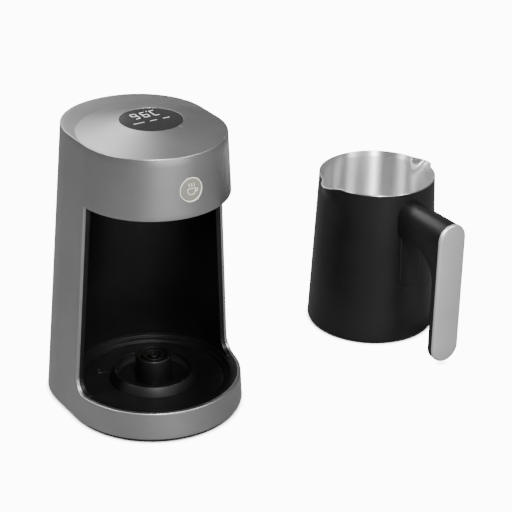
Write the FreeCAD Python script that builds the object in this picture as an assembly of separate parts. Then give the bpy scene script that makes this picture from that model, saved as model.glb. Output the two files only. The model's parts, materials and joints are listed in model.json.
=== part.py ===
import FreeCAD, Part
import math
import os

# An electric coffee maker for one small pot. The machine is a tapering C: a head over an open
# front, a column behind it and a base ring. The jug stands beside it, as it does when it is lifted
# off. All sizes are in millimetres, +Z is up and the front is -Y.

# Jug: a black jacket that tapers upwards over a steel vessel
jug_base_radius = 50.0
jug_rim_radius = 44.3
jug_height = 121.9
jacket_wall = 1.4
jacket_foot = 1.0          # height of the jacket's lower edge over the table
jacket_edge = 1.2          # chamfer at the jacket's lower edge
vessel_wall = 0.7
vessel_gap = 0.1           # between vessel and jacket
vessel_floor = 25.0
vessel_corner = 7.0        # rounding where the vessel's wall meets its floor
rim_lip = 0.9              # height of the steel rim over the jacket
spout_reach = 5.5
spout_height = 15.5
spout_half_width = 14.0
spout_root = 6.0           # how far inside the rim the flanks start
spout_tip_radius = 5.0
spout_nose_share = 0.6     # of the half width, where that is small
spout_nose_width = 0.9     # half of the tip's width, as a share of its radius
spout_nose_round = 0.9     # and the rounding of its corners
spout_low_half = 2.0       # half width where the spout starts, low on the wall
spout_low_inset = 0.4      # and how far inside the wall that is

# Jug foot: a cover with a recess, the connector socket and the heater over it
foot_ring_inner = 43.4
foot_recess_height = 7.5
foot_cover_wall = 2.0
socket_radius = 13.5
socket_wall = 3.0
socket_flange = 2.5
socket_roof = 1.7
socket_head_room = 0.5     # over the connector when the jug is on it
foot_ring_edge = 1.0
heater_plate_radius = 38.0
heater_ring_radius = 28.0
heater_ring_width = 6.0
heater_ring_height = 6.0
heater_ring_edge = 1.6
sensor_radius = 3.4

# Jug handle: an arm, a grip and a flat outer plate, all one width
handle_width = 24.0
handle_top_drop = 6.4      # from the jug's rim to the top of the handle
handle_bottom = 2.5
handle_reach = 96.5        # from the jug's axis to the plate's outer face
trim_thickness = 3.3
trim_edge = 1.3            # rounding of the plate's outer edge
trim_overhang = 0.3        # the plate stands this much outside the grip
grip_thickness = 5.2
arm_height = 25.5
arm_bend = 24.0            # radius under the arm where it turns down into the grip
mount_width = 19.0
mount_drop = 43.0          # from the arm's underside to the spine's lower end
mount_top_drop = 6.5
mount_thickness = 1.2
mount_corner = 6.0
handle_screw_radius = 1.6
handle_screw_head = 3.0
handle_screw_pitch = 11.0
handle_screw_sink = 0.2    # head below the grip's outer face
handle_screw_gap = 0.1     # between the tip and the jug's wall

# Machine housing: half round in front, straight sides, rounded back corners
dish_clearance = 0.8       # round the jug's foot
ridge_width = 2.8
band_width = 6.6           # sloping band from the ridge to the housing
tray_fit = 0.1
housing_wall = 2.5
housing_foot = 2.0         # height of the housing's lower edge
top_radius = 52.0
bottom_side = 31.5         # straight part of each side
top_side = 21.5
bottom_flat = 29.0         # straight part of the back
top_flat = 3.0
base_top = 22.3
bay_clearance = 7.0        # over the jug while it is lifted over the connector
head_height = 43.6
opening_low_y = 0.5        # where the opening ends in the column, at its foot
opening_high_y = -3.0      # and under the head
opening_corner = 11.0
cone_rim = 0.6             # narrow flat rim round the cone
cone_rise = 7.8

# Base: dish, ring round the connector, cover and feet
dish_depth = 5.6
ridge_drop = 1.5
ridge_edge = 0.8
step_height = 0.6
tray_wall = 2.0
tray_under_step = 0.6
ring_outer_radius = 32.0
ring_top_radius = 28.5
ring_top_width = 1.6
ring_height = 6.6
ring_edge = 0.5
ring_inner_radius = 26.0
drain_angle = 140.0
drain_distance = 40.0
drain_radius = 1.6
drain_lip = 1.3
drain_lip_height = 0.8
cover_bottom = 0.9
cover_inset = 1.2
cover_top = 4.5
cover_fit = 0.15
foot_radius = 6.0
foot_margin = 5.7
foot_pocket = 1.3
foot_edge = 0.6
post_radius = 3.2
post_distance = 44.0
post_angles = (30.0, 150.0, 210.0, 330.0)
screw_radius = 1.4
screw_head_radius = 2.7
screw_head_height = 1.6
screw_length = 8.0
screw_fit = 0.05
screw_sink = 0.1           # head below the cover's face
screw_slot = 0.6
screw_floor = 1.0          # left between a screw hole and the tray's underside

# Connector boss: round, with two contact grooves and a pin
boss_radius = 13.0
boss_height = 18.3         # over the dish floor
boss_hole_fit = 0.15
boss_flange_radius = 17.0
boss_flange = 2.5
boss_edge = 0.8
groove_one = (10.4, 8.2)   # outer and inner radius of each groove
groove_two = (5.6, 3.4)
groove_depth = 6.0
groove_lead = 0.4          # chamfer at each groove's mouth
contact_wall = 0.7
contact_height = 4.5
pin_radius = 1.2
pin_hole_radius = 1.7
pin_depth = 11.0
pin_drop = 1.0             # the pin's tip lies this far below the boss top
plug_wall = 0.9
plug_gap = 0.2

# Liner behind the jug and floor of the head
liner_rim = 3.4
liner_wall = 2.0
head_floor_recess = 0.6
head_floor_wall = 2.5
head_floor_fit = 0.1
head_post_front = (38.0, -22.0)
head_post_back = (42.0, 8.0)
boil_sensor_radius = 6.0
boil_sensor_flange = 8.5
boil_sensor_height = 8.0
boil_sensor_drop = 0.4
boil_sensor_edge = 1.0
boil_sensor_flange_height = 1.5

# Display in the top of the cone
lens_radius = 21.5
lens_thickness = 1.5
lens_fit = 0.1
lens_ledge = 2.2
display_board_radius = 23.5
display_board_drop = 6.0
display_module_size = (32.0, 16.0)
display_module_gap = 0.5
display_post_radius = 2.0
display_post_distance = 21.0
display_post_gap = 0.5
board_thickness = 1.6

# Start button on the front of the head
button_rise = 19.8         # from the head's lower edge to the button's axis
button_ring_outer = 8.9
button_ring_inner = 8.0
button_gap = 0.3
button_cap_depth = 4.4
button_travel = 1.2
stem_radius = 3.0
stem_fit = 0.06
guide_setback = 9.4        # from the front of the housing to the guide plate
guide_wall = 2.5
guide_width = 24.0
guide_sleeve_radius = 5.5
guide_sleeve_reach = 2.0
guide_foot = 11.5
switch_setback = 0.6       # stem end behind the guide plate
switch_spare = 0.1         # left when the button is fully down
switch_size = 7.0
switch_depth = 3.6
plunger_radius = 1.7
plunger_fit = 0.08
plunger_overlap = 1.8      # in the switch while the button is up
button_board_size = 22.0
button_board_post = 1.6
button_board_post_pitch = 8.0

# Electronics in the head and in the column
control_board_size = (56.0, 34.0)
control_board_front = 10.0
spacer_height = 6.0
spacer_radius = 2.4
spacer_inset = 4.0
chip_size = (12.0, 12.0, 2.0)
chip_place = (-10.0, 27.0)
buzzer_radius = 6.0
buzzer_height = 7.0
buzzer_place = (16.0, 22.0)
power_board_size = (48.0, 80.0)
power_board_bottom = 45.0
power_board_gap = 3.0
board_post_radius = 2.5
board_post_inset = (4.0, 7.0)
transformer_size = (24.0, 10.0, 30.0)
transformer_rise = 12.0
relay_size = (16.0, 9.0, 20.0)
relay_drop = 8.0           # from the board's upper edge
relay_side = 12.0
harness_radius = 2.0
harness_bend = 10.0
harness_side = -12.0
plug_size = (9.0, 7.0, 6.0)
lead_radius = 1.8
lead_bend = 9.0
lead_side = -10.0

# Inlet for the mains cord at the back of the base
gland_height = 13.0
gland_bore = 3.5
gland_radius = 5.5
gland_flange_radius = 7.5
gland_reach = 2.0
gland_inner_flange = 1.8

# Where the jug stands, from the connector's axis
jug_place_x = 210.8
jug_place_y = 24.0

# Working sizes of the shapes that cut
past = 1.0                 # how far a cutting shape reaches past what it cuts
round_share = 0.999        # a full round end, just short of a half circle on each side
near = 0.01                # taken as the same place

# Values that follow from the sizes above
dish_radius = jug_base_radius + dish_clearance
ridge_radius = dish_radius + ridge_width
tray_radius = ridge_radius + band_width
dish_floor = base_top - dish_depth
boss_top = dish_floor + boss_height
head_bottom = boss_top + jug_height + bay_clearance
housing_height = head_bottom + head_height
button_height = head_bottom + button_rise
handle_top = jug_height - handle_top_drop
arm_low = handle_top - arm_height
mount_bottom = arm_low - mount_drop
mount_top = handle_top - mount_top_drop
switch_gap = button_travel + switch_spare
switch_well = plunger_overlap + button_travel + switch_spare
plunger_length = switch_gap + plunger_overlap
head_floor_bottom = head_bottom + head_floor_recess
head_floor_top = head_floor_bottom + head_floor_wall
cone_top = housing_height + cone_rise
far = 4.0 * housing_height

V = FreeCAD.Vector


def blend(low, high, share):
    return low + (high - low) * share


# The housing's radius falls in a straight line from its foot to its top, and the tray's rim
# sets it at the height of the base ring.
base_share = base_top / housing_height
bottom_radius = (tray_radius + tray_fit + housing_wall - top_radius * base_share) / (1.0 - base_share)


def housing_radius(z):
    return blend(bottom_radius, top_radius, z / housing_height)


def housing_back(z):
    share = z / housing_height
    corner = housing_radius(z) - blend(bottom_flat, top_flat, share) / 2.0
    return blend(bottom_side, top_side, share) + corner


def liner_radius(z):
    return housing_radius(z) - housing_wall - liner_rim


def jug_radius(z):
    return blend(jug_base_radius, jug_rim_radius, z / jug_height)


# Plain shapes


def disc(radius, low, high, x=0.0, y=0.0):
    return Part.makeCylinder(radius, high - low, V(x, y, low), V(0, 0, 1))


def rod(radius, front, back, x, z):
    return Part.makeCylinder(radius, back - front, V(x, front, z), V(0, 1, 0))


def block(size_x, size_y, size_z, x, y, low):
    return Part.makeBox(size_x, size_y, size_z, V(x - size_x / 2.0, y - size_y / 2.0, low))


def rounded_edges(corners, place):
    # corners are (a, b, radius); a radius above zero rounds that corner with an arc
    points = [V(a, b, 0) for a, b, _ in corners]
    starts = []
    ends = []
    middles = []
    for index, (a, b, radius) in enumerate(corners):
        here = points[index]
        before = (points[index - 1] - here).normalize()
        after = (points[(index + 1) % len(points)] - here).normalize()
        if radius <= 0.0:
            starts.append(here)
            ends.append(here)
            middles.append(None)
            continue
        half = before.getAngle(after) / 2.0
        reach = radius / math.tan(half)
        centre = here + (before + after).normalize() * (radius / math.sin(half))
        starts.append(here + before * reach)
        ends.append(here + after * reach)
        middles.append(centre + (here - centre).normalize() * radius)
    edges = []
    for index in range(len(points)):
        if middles[index] is not None:
            arc = [place(p.x, p.y) for p in (starts[index], middles[index], ends[index])]
            edges.append(Part.Arc(*arc).toShape())
        leave = ends[index]
        reach_next = starts[(index + 1) % len(points)]
        if leave.distanceToPoint(reach_next) > 1e-6:
            line = Part.LineSegment(place(leave.x, leave.y), place(reach_next.x, reach_next.y))
            edges.append(line.toShape())
    return edges


def face_of(corners, place):
    full = [(c[0], c[1], c[2] if len(c) > 2 else 0.0) for c in corners]
    return Part.Face(Part.Wire(Part.__sortEdges__(rounded_edges(full, place))))


def turned(corners):
    # a profile of (radius, height) turned round the Z axis
    face = face_of(corners, lambda a, b: V(a, 0, b))
    return face.revolve(V(0, 0, 0), V(0, 0, 1), 360)


def side_cut(corners, width):
    # a profile of (y, z) extended to both sides of the middle plane
    face = face_of(corners, lambda a, b: V(-width / 2.0, a, b))
    return face.extrude(V(width, 0, 0))


def front_cut(corners, front, back):
    # a profile of (x, z) extended along Y
    face = face_of(corners, lambda a, b: V(a, front, b))
    return face.extrude(V(0, back - front, 0))


def mirrored_pair(place):
    return [(place[0], place[1]), (-place[0], place[1])]


# Housing


def plan_wire(z, inset):
    # the outline of the machine at one height, all of it moved inwards by the inset
    share = z / housing_height
    radius = housing_radius(z) - inset
    side = blend(bottom_side, top_side, share)
    flat = blend(bottom_flat, top_flat, share) / 2.0
    corner = radius - flat
    back = side + corner
    turn = corner * math.sqrt(0.5)
    turn_front = radius * math.sqrt(0.5)
    left = V(-radius, 0, z)
    front = V(0, -radius, z)
    right = V(radius, 0, z)
    edges = [
        Part.Arc(left, V(-turn_front, -turn_front, z), front).toShape(),
        Part.Arc(front, V(turn_front, -turn_front, z), right).toShape(),
        Part.LineSegment(right, V(radius, side, z)).toShape(),
        Part.Arc(V(radius, side, z), V(flat + turn, side + turn, z), V(flat, back, z)).toShape(),
        Part.LineSegment(V(flat, back, z), V(-flat, back, z)).toShape(),
        Part.Arc(V(-flat, back, z), V(-flat - turn, side + turn, z), V(-radius, side, z)).toShape(),
        Part.LineSegment(V(-radius, side, z), left).toShape(),
    ]
    return Part.Wire(edges)


def tapered_body(low, high, inset):
    return Part.makeLoft([plan_wire(low, inset), plan_wire(high, inset)], True, True)


def opening_block(shift_y=0.0, shift_z=0.0):
    # the space in front of the column, open to the front
    low = base_top - shift_z
    high = head_bottom
    front = -2.0 * bottom_radius
    corners = [
        (front, low),
        (opening_low_y + shift_y, low, opening_corner),
        (opening_high_y + shift_y, high),
        (front, high),
    ]
    return side_cut(corners, 4.0 * bottom_radius)


def housing_outer():
    cone = turned([
        (0.0, housing_height - housing_wall),
        (top_radius - cone_rim, housing_height - housing_wall),
        (top_radius - cone_rim, housing_height),
        (lens_radius + lens_fit, cone_top),
        (0.0, cone_top),
    ])
    return tapered_body(housing_foot, housing_height, 0.0).fuse(cone)


def housing_inner():
    ceiling = housing_height - housing_wall
    cone = turned([
        (0.0, ceiling - housing_wall),
        (top_radius - cone_rim - housing_wall, ceiling - housing_wall),
        (top_radius - cone_rim - housing_wall, ceiling),
        (lens_radius - lens_ledge, cone_top - housing_wall),
        (0.0, cone_top - housing_wall),
    ])
    return tapered_body(0.0, ceiling, housing_wall).fuse(cone)


def head_post_places():
    return mirrored_pair(head_post_front) + mirrored_pair(head_post_back)


def display_post_places():
    places = []
    for turn in (90.0, 210.0, 330.0):
        angle = math.radians(turn)
        places.append((display_post_distance * math.cos(angle), display_post_distance * math.sin(angle)))
    return places


def display_board_top():
    return cone_top - lens_thickness - display_board_drop


def make_outer_housing():
    outer = housing_outer()
    shell = outer.cut([housing_inner(), opening_block()])
    posts = []
    for x, y in head_post_places():
        posts.append(disc(post_radius, head_floor_top, housing_height, x, y))
    for x, y in display_post_places():
        post_top = cone_top - lens_thickness - display_post_gap
        posts.append(disc(display_post_radius, display_board_top(), post_top, x, y))
    shell = shell.fuse(posts)
    cuts = [
        disc(lens_radius + lens_fit, cone_top - lens_thickness, cone_top + past),
        disc(lens_radius - lens_ledge, cone_top - 3.0 * housing_wall, cone_top),
        rod(button_ring_outer + screw_fit, -2.0 * bottom_radius, -button_back_limit(), 0.0, button_height),
        rod(gland_radius, gland_inside_y(), 2.0 * far, 0.0, gland_height),
    ]
    for x, y in head_post_places():
        cuts.append(disc(screw_radius + screw_fit, head_floor_top, head_floor_top + 1.5 * screw_length, x, y))
    return shell.cut(cuts)


# Head: display, floor, button and boards


def make_display_lens():
    return disc(lens_radius, cone_top - lens_thickness, cone_top)


def make_display_board():
    top = display_board_top()
    return disc(display_board_radius, top - board_thickness, top)


def make_display_module():
    top = display_board_top()
    height = cone_top - lens_thickness - display_module_gap - top
    return block(display_module_size[0], display_module_size[1], height, 0.0, 0.0, top)


def make_head_floor():
    low = head_floor_bottom
    high = head_floor_top
    plate = tapered_body(low, high, housing_wall + head_floor_fit)
    front_edge = opening_high_y + liner_wall
    front_part = Part.makeBox(4.0 * top_radius, 2.0 * top_radius + front_edge, 2.0 * high,
                              V(-2.0 * top_radius, -2.0 * top_radius, 0))
    round_part = disc(liner_radius(head_floor_bottom) + liner_wall, 0.0, 2.0 * high)
    plate = plate.common(front_part.fuse(round_part))
    cuts = [disc(boil_sensor_radius + screw_fit, low - past, high + past)]
    for x, y in head_post_places():
        cuts.append(disc(screw_radius + screw_fit, low - past, high + past, x, y))
        cuts.append(disc(screw_head_radius + screw_fit, low - past, low + screw_head_height, x, y))
    return plate.cut(cuts)


def screw_up(x, y, low):
    # a screw that points up, its head's lower face at the height low
    head = disc(screw_head_radius, low, low + screw_head_height, x, y)
    shank = disc(screw_radius, low + screw_head_height, low + screw_head_height + screw_length, x, y)
    slot = block(2.0 * screw_head_radius, screw_slot, screw_slot, x, y, low)
    return head.fuse(shank).cut(slot).removeSplitter()


def make_head_screws():
    return Part.makeCompound([screw_up(x, y, head_floor_bottom) for x, y in head_post_places()])


def make_boil_sensor():
    low = head_floor_bottom - boil_sensor_drop
    return turned([
        (0.0, low),
        (boil_sensor_radius - boil_sensor_edge, low),
        (boil_sensor_radius, low + boil_sensor_edge),
        (boil_sensor_radius, head_floor_top),
        (boil_sensor_flange, head_floor_top),
        (boil_sensor_flange, head_floor_top + boil_sensor_flange_height),
        (boil_sensor_radius, head_floor_top + boil_sensor_flange_height),
        (boil_sensor_radius, head_floor_top + boil_sensor_height),
        (0.0, head_floor_top + boil_sensor_height),
    ])


def front_y():
    # the front of the housing at the height of the button
    return -housing_radius(button_height)


def guide_y():
    return front_y() + guide_setback


def button_back_limit():
    return housing_radius(button_height) - 3.0 * housing_wall


def make_button_light_ring():
    ring = rod(button_ring_outer, -2.0 * bottom_radius, guide_y(), 0.0, button_height)
    ring = ring.cut(rod(button_ring_inner, -3.0 * bottom_radius, far, 0.0, button_height))
    return ring.common(tapered_body(housing_foot, housing_height, 0.0))


def make_start_button():
    cap_back = front_y() + button_cap_depth
    cap = rod(button_ring_inner - button_gap, -2.0 * bottom_radius, cap_back, 0.0, button_height)
    cap = cap.common(tapered_body(housing_foot, housing_height, 0.0))
    stem = rod(stem_radius, cap_back, stem_end_y(), 0.0, button_height)
    return cap.fuse(stem).removeSplitter()


def stem_end_y():
    return guide_y() + guide_wall + switch_setback


def switch_front_y():
    return stem_end_y() + switch_gap


def button_board_y():
    return switch_front_y() + switch_depth


def make_switch_plunger():
    return rod(plunger_radius, stem_end_y(), stem_end_y() + plunger_length, 0.0, button_height)


def make_button_switch():
    half = switch_size / 2.0
    front = switch_front_y()
    case = Part.makeBox(switch_size, switch_depth, switch_size, V(-half, front, button_height - half))
    well = rod(plunger_radius + plunger_fit, front, front + switch_well, 0.0, button_height)
    return case.cut(well)


def make_button_board():
    half = button_board_size / 2.0
    return Part.makeBox(button_board_size, board_thickness, button_board_size,
                        V(-half, button_board_y(), button_height - half))


def make_button_guide():
    half = guide_width / 2.0
    top = button_height + half
    plate = Part.makeBox(guide_width, guide_wall, top - head_floor_top, V(-half, guide_y(), head_floor_top))
    foot = Part.makeBox(guide_width, guide_foot, guide_wall, V(-half, guide_y(), head_floor_top))
    sleeve = rod(guide_sleeve_radius, guide_y() - guide_sleeve_reach, guide_y(), 0.0, button_height)
    posts = []
    for side in (-1.0, 1.0):
        for level in (-1.0, 1.0):
            posts.append(rod(button_board_post, guide_y() + guide_wall, button_board_y(),
                             side * button_board_post_pitch, button_height + level * button_board_post_pitch))
    whole = plate.fuse([foot, sleeve] + posts)
    bore = rod(stem_radius + stem_fit, guide_y() - 2.0 * guide_sleeve_reach, guide_y() + 2.0 * guide_wall,
               0.0, button_height)
    return whole.cut(bore).removeSplitter()


def control_board_bottom():
    return head_floor_top + spacer_height


def control_board_middle():
    return control_board_front + control_board_size[1] / 2.0


def make_control_board():
    return block(control_board_size[0], control_board_size[1], board_thickness,
                 0.0, control_board_middle(), control_board_bottom())


def make_board_spacers():
    reach_x = control_board_size[0] / 2.0 - spacer_inset
    reach_y = control_board_size[1] / 2.0 - spacer_inset
    spacers = []
    for side in (-1.0, 1.0):
        for end in (-1.0, 1.0):
            spacers.append(disc(spacer_radius, head_floor_top, control_board_bottom(),
                                side * reach_x, control_board_middle() + end * reach_y))
    return Part.makeCompound(spacers)


def make_control_chip():
    top = control_board_bottom() + board_thickness
    return block(chip_size[0], chip_size[1], chip_size[2], chip_place[0], chip_place[1], top)


def make_buzzer():
    low = control_board_bottom() + board_thickness
    case = disc(buzzer_radius, low, low + buzzer_height, buzzer_place[0], buzzer_place[1])
    hole = disc(buzzer_radius / 5.0, low + buzzer_height / 2.0, low + 2.0 * buzzer_height,
                buzzer_place[0], buzzer_place[1])
    return case.cut(hole)


# Column: liner, power board and leads


def power_board_y():
    return liner_radius(power_board_bottom) + liner_wall + power_board_gap


def make_cavity_liner():
    low = base_top - ridge_drop
    high = head_floor_bottom
    inside = tapered_body(0.0, housing_height, housing_wall + head_floor_fit)
    width = 4.0 * bottom_radius
    corner = V(-width / 2.0, opening_low_y - opening_corner, base_top)
    lip_room = Part.makeBox(width, width, high - base_top, corner)
    lip = opening_block(liner_wall, liner_wall).cut(opening_block()).common(lip_room)
    skin = turned([
        (0.0, low),
        (liner_radius(low) + liner_wall, low),
        (liner_radius(high) + liner_wall, high),
        (0.0, high),
    ])
    posts = []
    for side in (-1.0, 1.0):
        for level in (board_post_inset[1], power_board_size[1] - board_post_inset[1]):
            x = side * (power_board_size[0] / 2.0 - board_post_inset[0])
            posts.append(rod(board_post_radius, 0.0, power_board_y(), x, power_board_bottom + level))
    hollow = turned([
        (0.0, low - past),
        (liner_radius(low - past), low - past),
        (liner_radius(high + past), high + past),
        (0.0, high + past),
    ])
    whole = lip.fuse(skin).common(inside).fuse(posts)
    return whole.cut([hollow, opening_block(), tray_space()]).removeSplitter()


def make_power_board():
    return Part.makeBox(power_board_size[0], board_thickness, power_board_size[1],
                        V(-power_board_size[0] / 2.0, power_board_y(), power_board_bottom))


def power_board_back():
    return power_board_y() + board_thickness


def make_transformer():
    x, y, z = transformer_size
    core = Part.makeBox(x, y, z, V(-x / 2.0, power_board_back(), power_board_bottom + transformer_rise))
    return core.makeChamfer(y / 8.0, core.Edges)


def make_relay():
    x, y, z = relay_size
    low = power_board_bottom + power_board_size[1] - relay_drop - z
    return Part.makeBox(x, y, z, V(relay_side - x / 2.0, power_board_back(), low))


def lead(start, corner, end, bend, radius):
    # a round lead of two straight runs with an arc between them
    before = (start - corner).normalize()
    after = (end - corner).normalize()
    first = corner + before * bend
    last = corner + after * bend
    centre = corner + before * bend + after * bend
    middle = centre + (corner - centre).normalize() * bend
    path = Part.Wire([
        Part.LineSegment(start, first).toShape(),
        Part.Arc(first, middle, last).toShape(),
        Part.LineSegment(last, end).toShape(),
    ])
    ring = Part.Wire([Part.makeCircle(radius, start, before * -1.0)])
    return path.makePipeShell([ring], True, False)


def make_wiring_harness():
    x = harness_side
    size_x, size_y, size_z = plug_size
    low_plug_top = power_board_bottom + power_board_size[1] - board_post_inset[1]
    low_plug_corner = V(x - size_x / 2.0, power_board_back(), low_plug_top - size_z)
    low_plug = Part.makeBox(size_x, size_y, size_z, low_plug_corner)
    board_top = control_board_bottom() + board_thickness
    high_plug_back = control_board_front + control_board_size[1]
    high_plug = Part.makeBox(size_x, size_y, size_z, V(x - size_x / 2.0, high_plug_back - size_y, board_top))
    y = power_board_back() + size_y / 2.0
    z = board_top + size_z / 2.0
    run = lead(V(x, y, low_plug_top), V(x, y, z), V(x, high_plug_back, z), harness_bend, harness_radius)
    return Part.makeCompound([low_plug, run, high_plug])


def make_supply_leads():
    x = lead_side
    size_x, size_y, size_z = plug_size
    flange_bottom = dish_floor - tray_wall - boss_flange
    boss_plug_back = math.sqrt(boss_flange_radius ** 2 - lead_side ** 2)
    boss_plug_corner = V(x - size_x / 2.0, boss_plug_back - size_y, flange_bottom - size_z)
    boss_plug = Part.makeBox(size_x, size_y, size_z, boss_plug_corner)
    board_plug_low = power_board_bottom
    board_plug = Part.makeBox(size_x, size_y, size_z, V(x - size_x / 2.0, power_board_back(), board_plug_low))
    y = power_board_back() + size_y / 2.0
    z = flange_bottom - size_z / 2.0
    run = lead(V(x, boss_plug_back, z), V(x, y, z), V(x, y, board_plug_low), lead_bend, lead_radius)
    return Part.makeCompound([boss_plug, run, board_plug])


# Base: tray, ring, connector, cover and feet


def tray_top_profile():
    return [
        (tray_radius, base_top),
        (ridge_radius + ridge_edge, base_top - ridge_drop),
        (ridge_radius, base_top - ridge_drop - ridge_edge / 2.0),
        (dish_radius, dish_floor + step_height),
        (dish_radius - step_height, dish_floor),
    ]


def tray_space():
    # everything below the tray's upper surface
    return turned([(0.0, 0.0), (tray_radius, 0.0)] + tray_top_profile() + [(0.0, dish_floor)])


def drain_place():
    angle = math.radians(drain_angle)
    return drain_distance * math.cos(angle), drain_distance * math.sin(angle)


def post_places():
    places = []
    for turn in post_angles:
        angle = math.radians(turn)
        places.append((post_distance * math.cos(angle), post_distance * math.sin(angle)))
    return places


def make_base_tray():
    hole = boss_radius + boss_hole_fit
    under = dish_floor - tray_wall
    tray = turned(tray_top_profile() + [
        (hole, dish_floor),
        (hole, under),
        (dish_radius - step_height + tray_wall, under),
        (ridge_radius, base_top - ridge_drop - tray_wall - tray_under_step),
        (tray_radius, base_top - tray_wall),
    ])
    x, y = drain_place()
    extras = [disc(drain_radius + drain_lip, under - tray_wall, dish_floor + drain_lip_height, x, y)]
    for px, py in post_places():
        extras.append(disc(post_radius, cover_top, under, px, py))
    tray = tray.fuse(extras)
    cuts = [disc(drain_radius, 0.0, 2.0 * base_top, x, y)]
    for px, py in post_places():
        cuts.append(disc(screw_radius + screw_fit, 0.0, under - screw_floor, px, py))
    return tray.cut(cuts).removeSplitter()


def make_tray_ring():
    return turned([
        (ring_inner_radius, dish_floor),
        (ring_outer_radius, dish_floor),
        (ring_top_radius, dish_floor + ring_height - ring_edge),
        (ring_top_radius - ring_edge, dish_floor + ring_height),
        (ring_top_radius - ring_top_width, dish_floor + ring_height),
    ])


def make_connector_body():
    low = dish_floor - tray_wall - boss_flange
    floor = boss_top - groove_depth
    return turned([
        (0.0, low),
        (boss_flange_radius, low),
        (boss_flange_radius, low + boss_flange),
        (boss_radius, low + boss_flange),
        (boss_radius, boss_top - boss_edge),
        (boss_radius - boss_edge, boss_top),
        (groove_one[0] + groove_lead, boss_top),
        (groove_one[0], boss_top - groove_lead),
        (groove_one[0], floor),
        (groove_one[1], floor),
        (groove_one[1], boss_top - 2.0 * groove_lead),
        (groove_one[1] - groove_lead, boss_top - groove_lead),
        (groove_two[0] + groove_lead, boss_top - groove_lead),
        (groove_two[0], boss_top - 2.0 * groove_lead),
        (groove_two[0], floor),
        (groove_two[1], floor),
        (groove_two[1], boss_top - 2.0 * groove_lead),
        (groove_two[1] - groove_lead, boss_top - groove_lead),
        (pin_hole_radius, boss_top - groove_lead),
        (pin_hole_radius, boss_top - pin_depth),
        (0.0, boss_top - pin_depth),
    ])


def ring_between(outer, inner, low, high):
    return disc(outer, low, high).cut(disc(inner, low - past, high + past))


def make_connector_contacts():
    floor = boss_top - groove_depth
    rings = []
    for outer, _ in (groove_one, groove_two):
        rings.append(ring_between(outer, outer - contact_wall, floor, floor + contact_height))
    return Part.makeCompound(rings)


def make_connector_pin():
    top = boss_top - pin_drop
    return turned([
        (0.0, boss_top - pin_depth),
        (pin_radius, boss_top - pin_depth),
        (pin_radius, top - pin_radius / 2.0),
        (pin_radius / 2.0, top),
        (0.0, top),
    ])


def foot_places():
    share = math.sqrt(0.5)
    front = (bottom_radius - foot_radius - foot_margin) * share
    corner = bottom_radius - bottom_flat / 2.0
    back = (corner - foot_radius - foot_margin) * share
    back_x = bottom_flat / 2.0 + back
    back_y = bottom_side + back
    return [(front, -front), (-front, -front), (back_x, back_y), (-back_x, back_y)]


def make_bottom_cover():
    flange = tapered_body(cover_bottom, housing_foot, cover_inset)
    plug = tapered_body(housing_foot, cover_top, housing_wall + cover_fit)
    cover = flange.fuse(plug)
    cuts = [disc(foot_radius, 0.0, cover_bottom + foot_pocket, x, y) for x, y in foot_places()]
    for x, y in post_places():
        cuts.append(disc(screw_radius + screw_fit, 0.0, 2.0 * cover_top, x, y))
        seat = cover_bottom + screw_head_height + screw_sink
        cuts.append(disc(screw_head_radius + screw_fit, 0.0, seat, x, y))
    return cover.cut(cuts).removeSplitter()


def make_rubber_feet():
    feet = []
    for x, y in foot_places():
        foot = turned([
            (0.0, 0.0),
            (foot_radius - foot_edge, 0.0),
            (foot_radius, foot_edge),
            (foot_radius, cover_bottom + foot_pocket),
            (0.0, cover_bottom + foot_pocket),
        ])
        foot.translate(V(x, y, 0))
        feet.append(foot)
    return Part.makeCompound(feet)


def make_bottom_screws():
    return Part.makeCompound([screw_up(x, y, cover_bottom + screw_sink) for x, y in post_places()])


def gland_outside_y():
    return housing_back(gland_height) + gland_reach


def gland_inside_y():
    return housing_back(gland_height) - housing_wall - gland_inner_flange


def make_cord_gland():
    front = gland_inside_y()
    back = gland_outside_y()
    flanges = rod(gland_flange_radius, front, back, 0.0, gland_height)
    wall = tapered_body(0.0, housing_height, 0.0).cut(tapered_body(-past, housing_height, housing_wall))
    sleeve = rod(gland_radius, front, back, 0.0, gland_height)
    bore = rod(gland_bore, front - past, back + past, 0.0, gland_height)
    return flanges.cut(wall).fuse(sleeve).cut(bore).removeSplitter()


# Jug, about its own axis


def jug_cone(inset, low, high):
    return turned([
        (0.0, low),
        (jug_radius(low) - inset, low),
        (jug_radius(high) - inset, high),
        (0.0, high),
    ])


def spout_outline(tip, half_width, root, z):
    # a rounded nose with straight flanks, from the root line to the tip
    nose = min(spout_tip_radius, half_width * spout_nose_share)
    face_points = [
        (root, -half_width, 0.0),
        (tip, -nose * spout_nose_width, nose * spout_nose_round),
        (tip, nose * spout_nose_width, nose * spout_nose_round),
        (root, half_width, 0.0),
    ]
    return Part.Wire(Part.__sortEdges__(rounded_edges(face_points, lambda a, b: V(a, b, z))))


def spout_body(inset, high):
    # both spouts: each grows out of the wall from a small section low down to full width at the rim
    low = jug_height - spout_height
    low_tip = jug_radius(low) - inset
    high_tip = jug_rim_radius + spout_reach - inset
    low_section = spout_outline(low_tip - spout_low_inset, spout_low_half, low_tip - spout_root, low)
    high_section = spout_outline(high_tip, spout_half_width - inset, jug_rim_radius - spout_root, jug_height)
    nose = Part.makeLoft([low_section, high_section], True, True)
    nose = nose.common(Part.makeBox(far, far, high - low, V(-far / 2.0, -far / 2.0, low)))
    other = nose.copy()
    other.rotate(V(0, 0, 0), V(0, 0, 1), 180)
    return [nose, other]


def jacket_top():
    return jug_height - rim_lip


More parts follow.
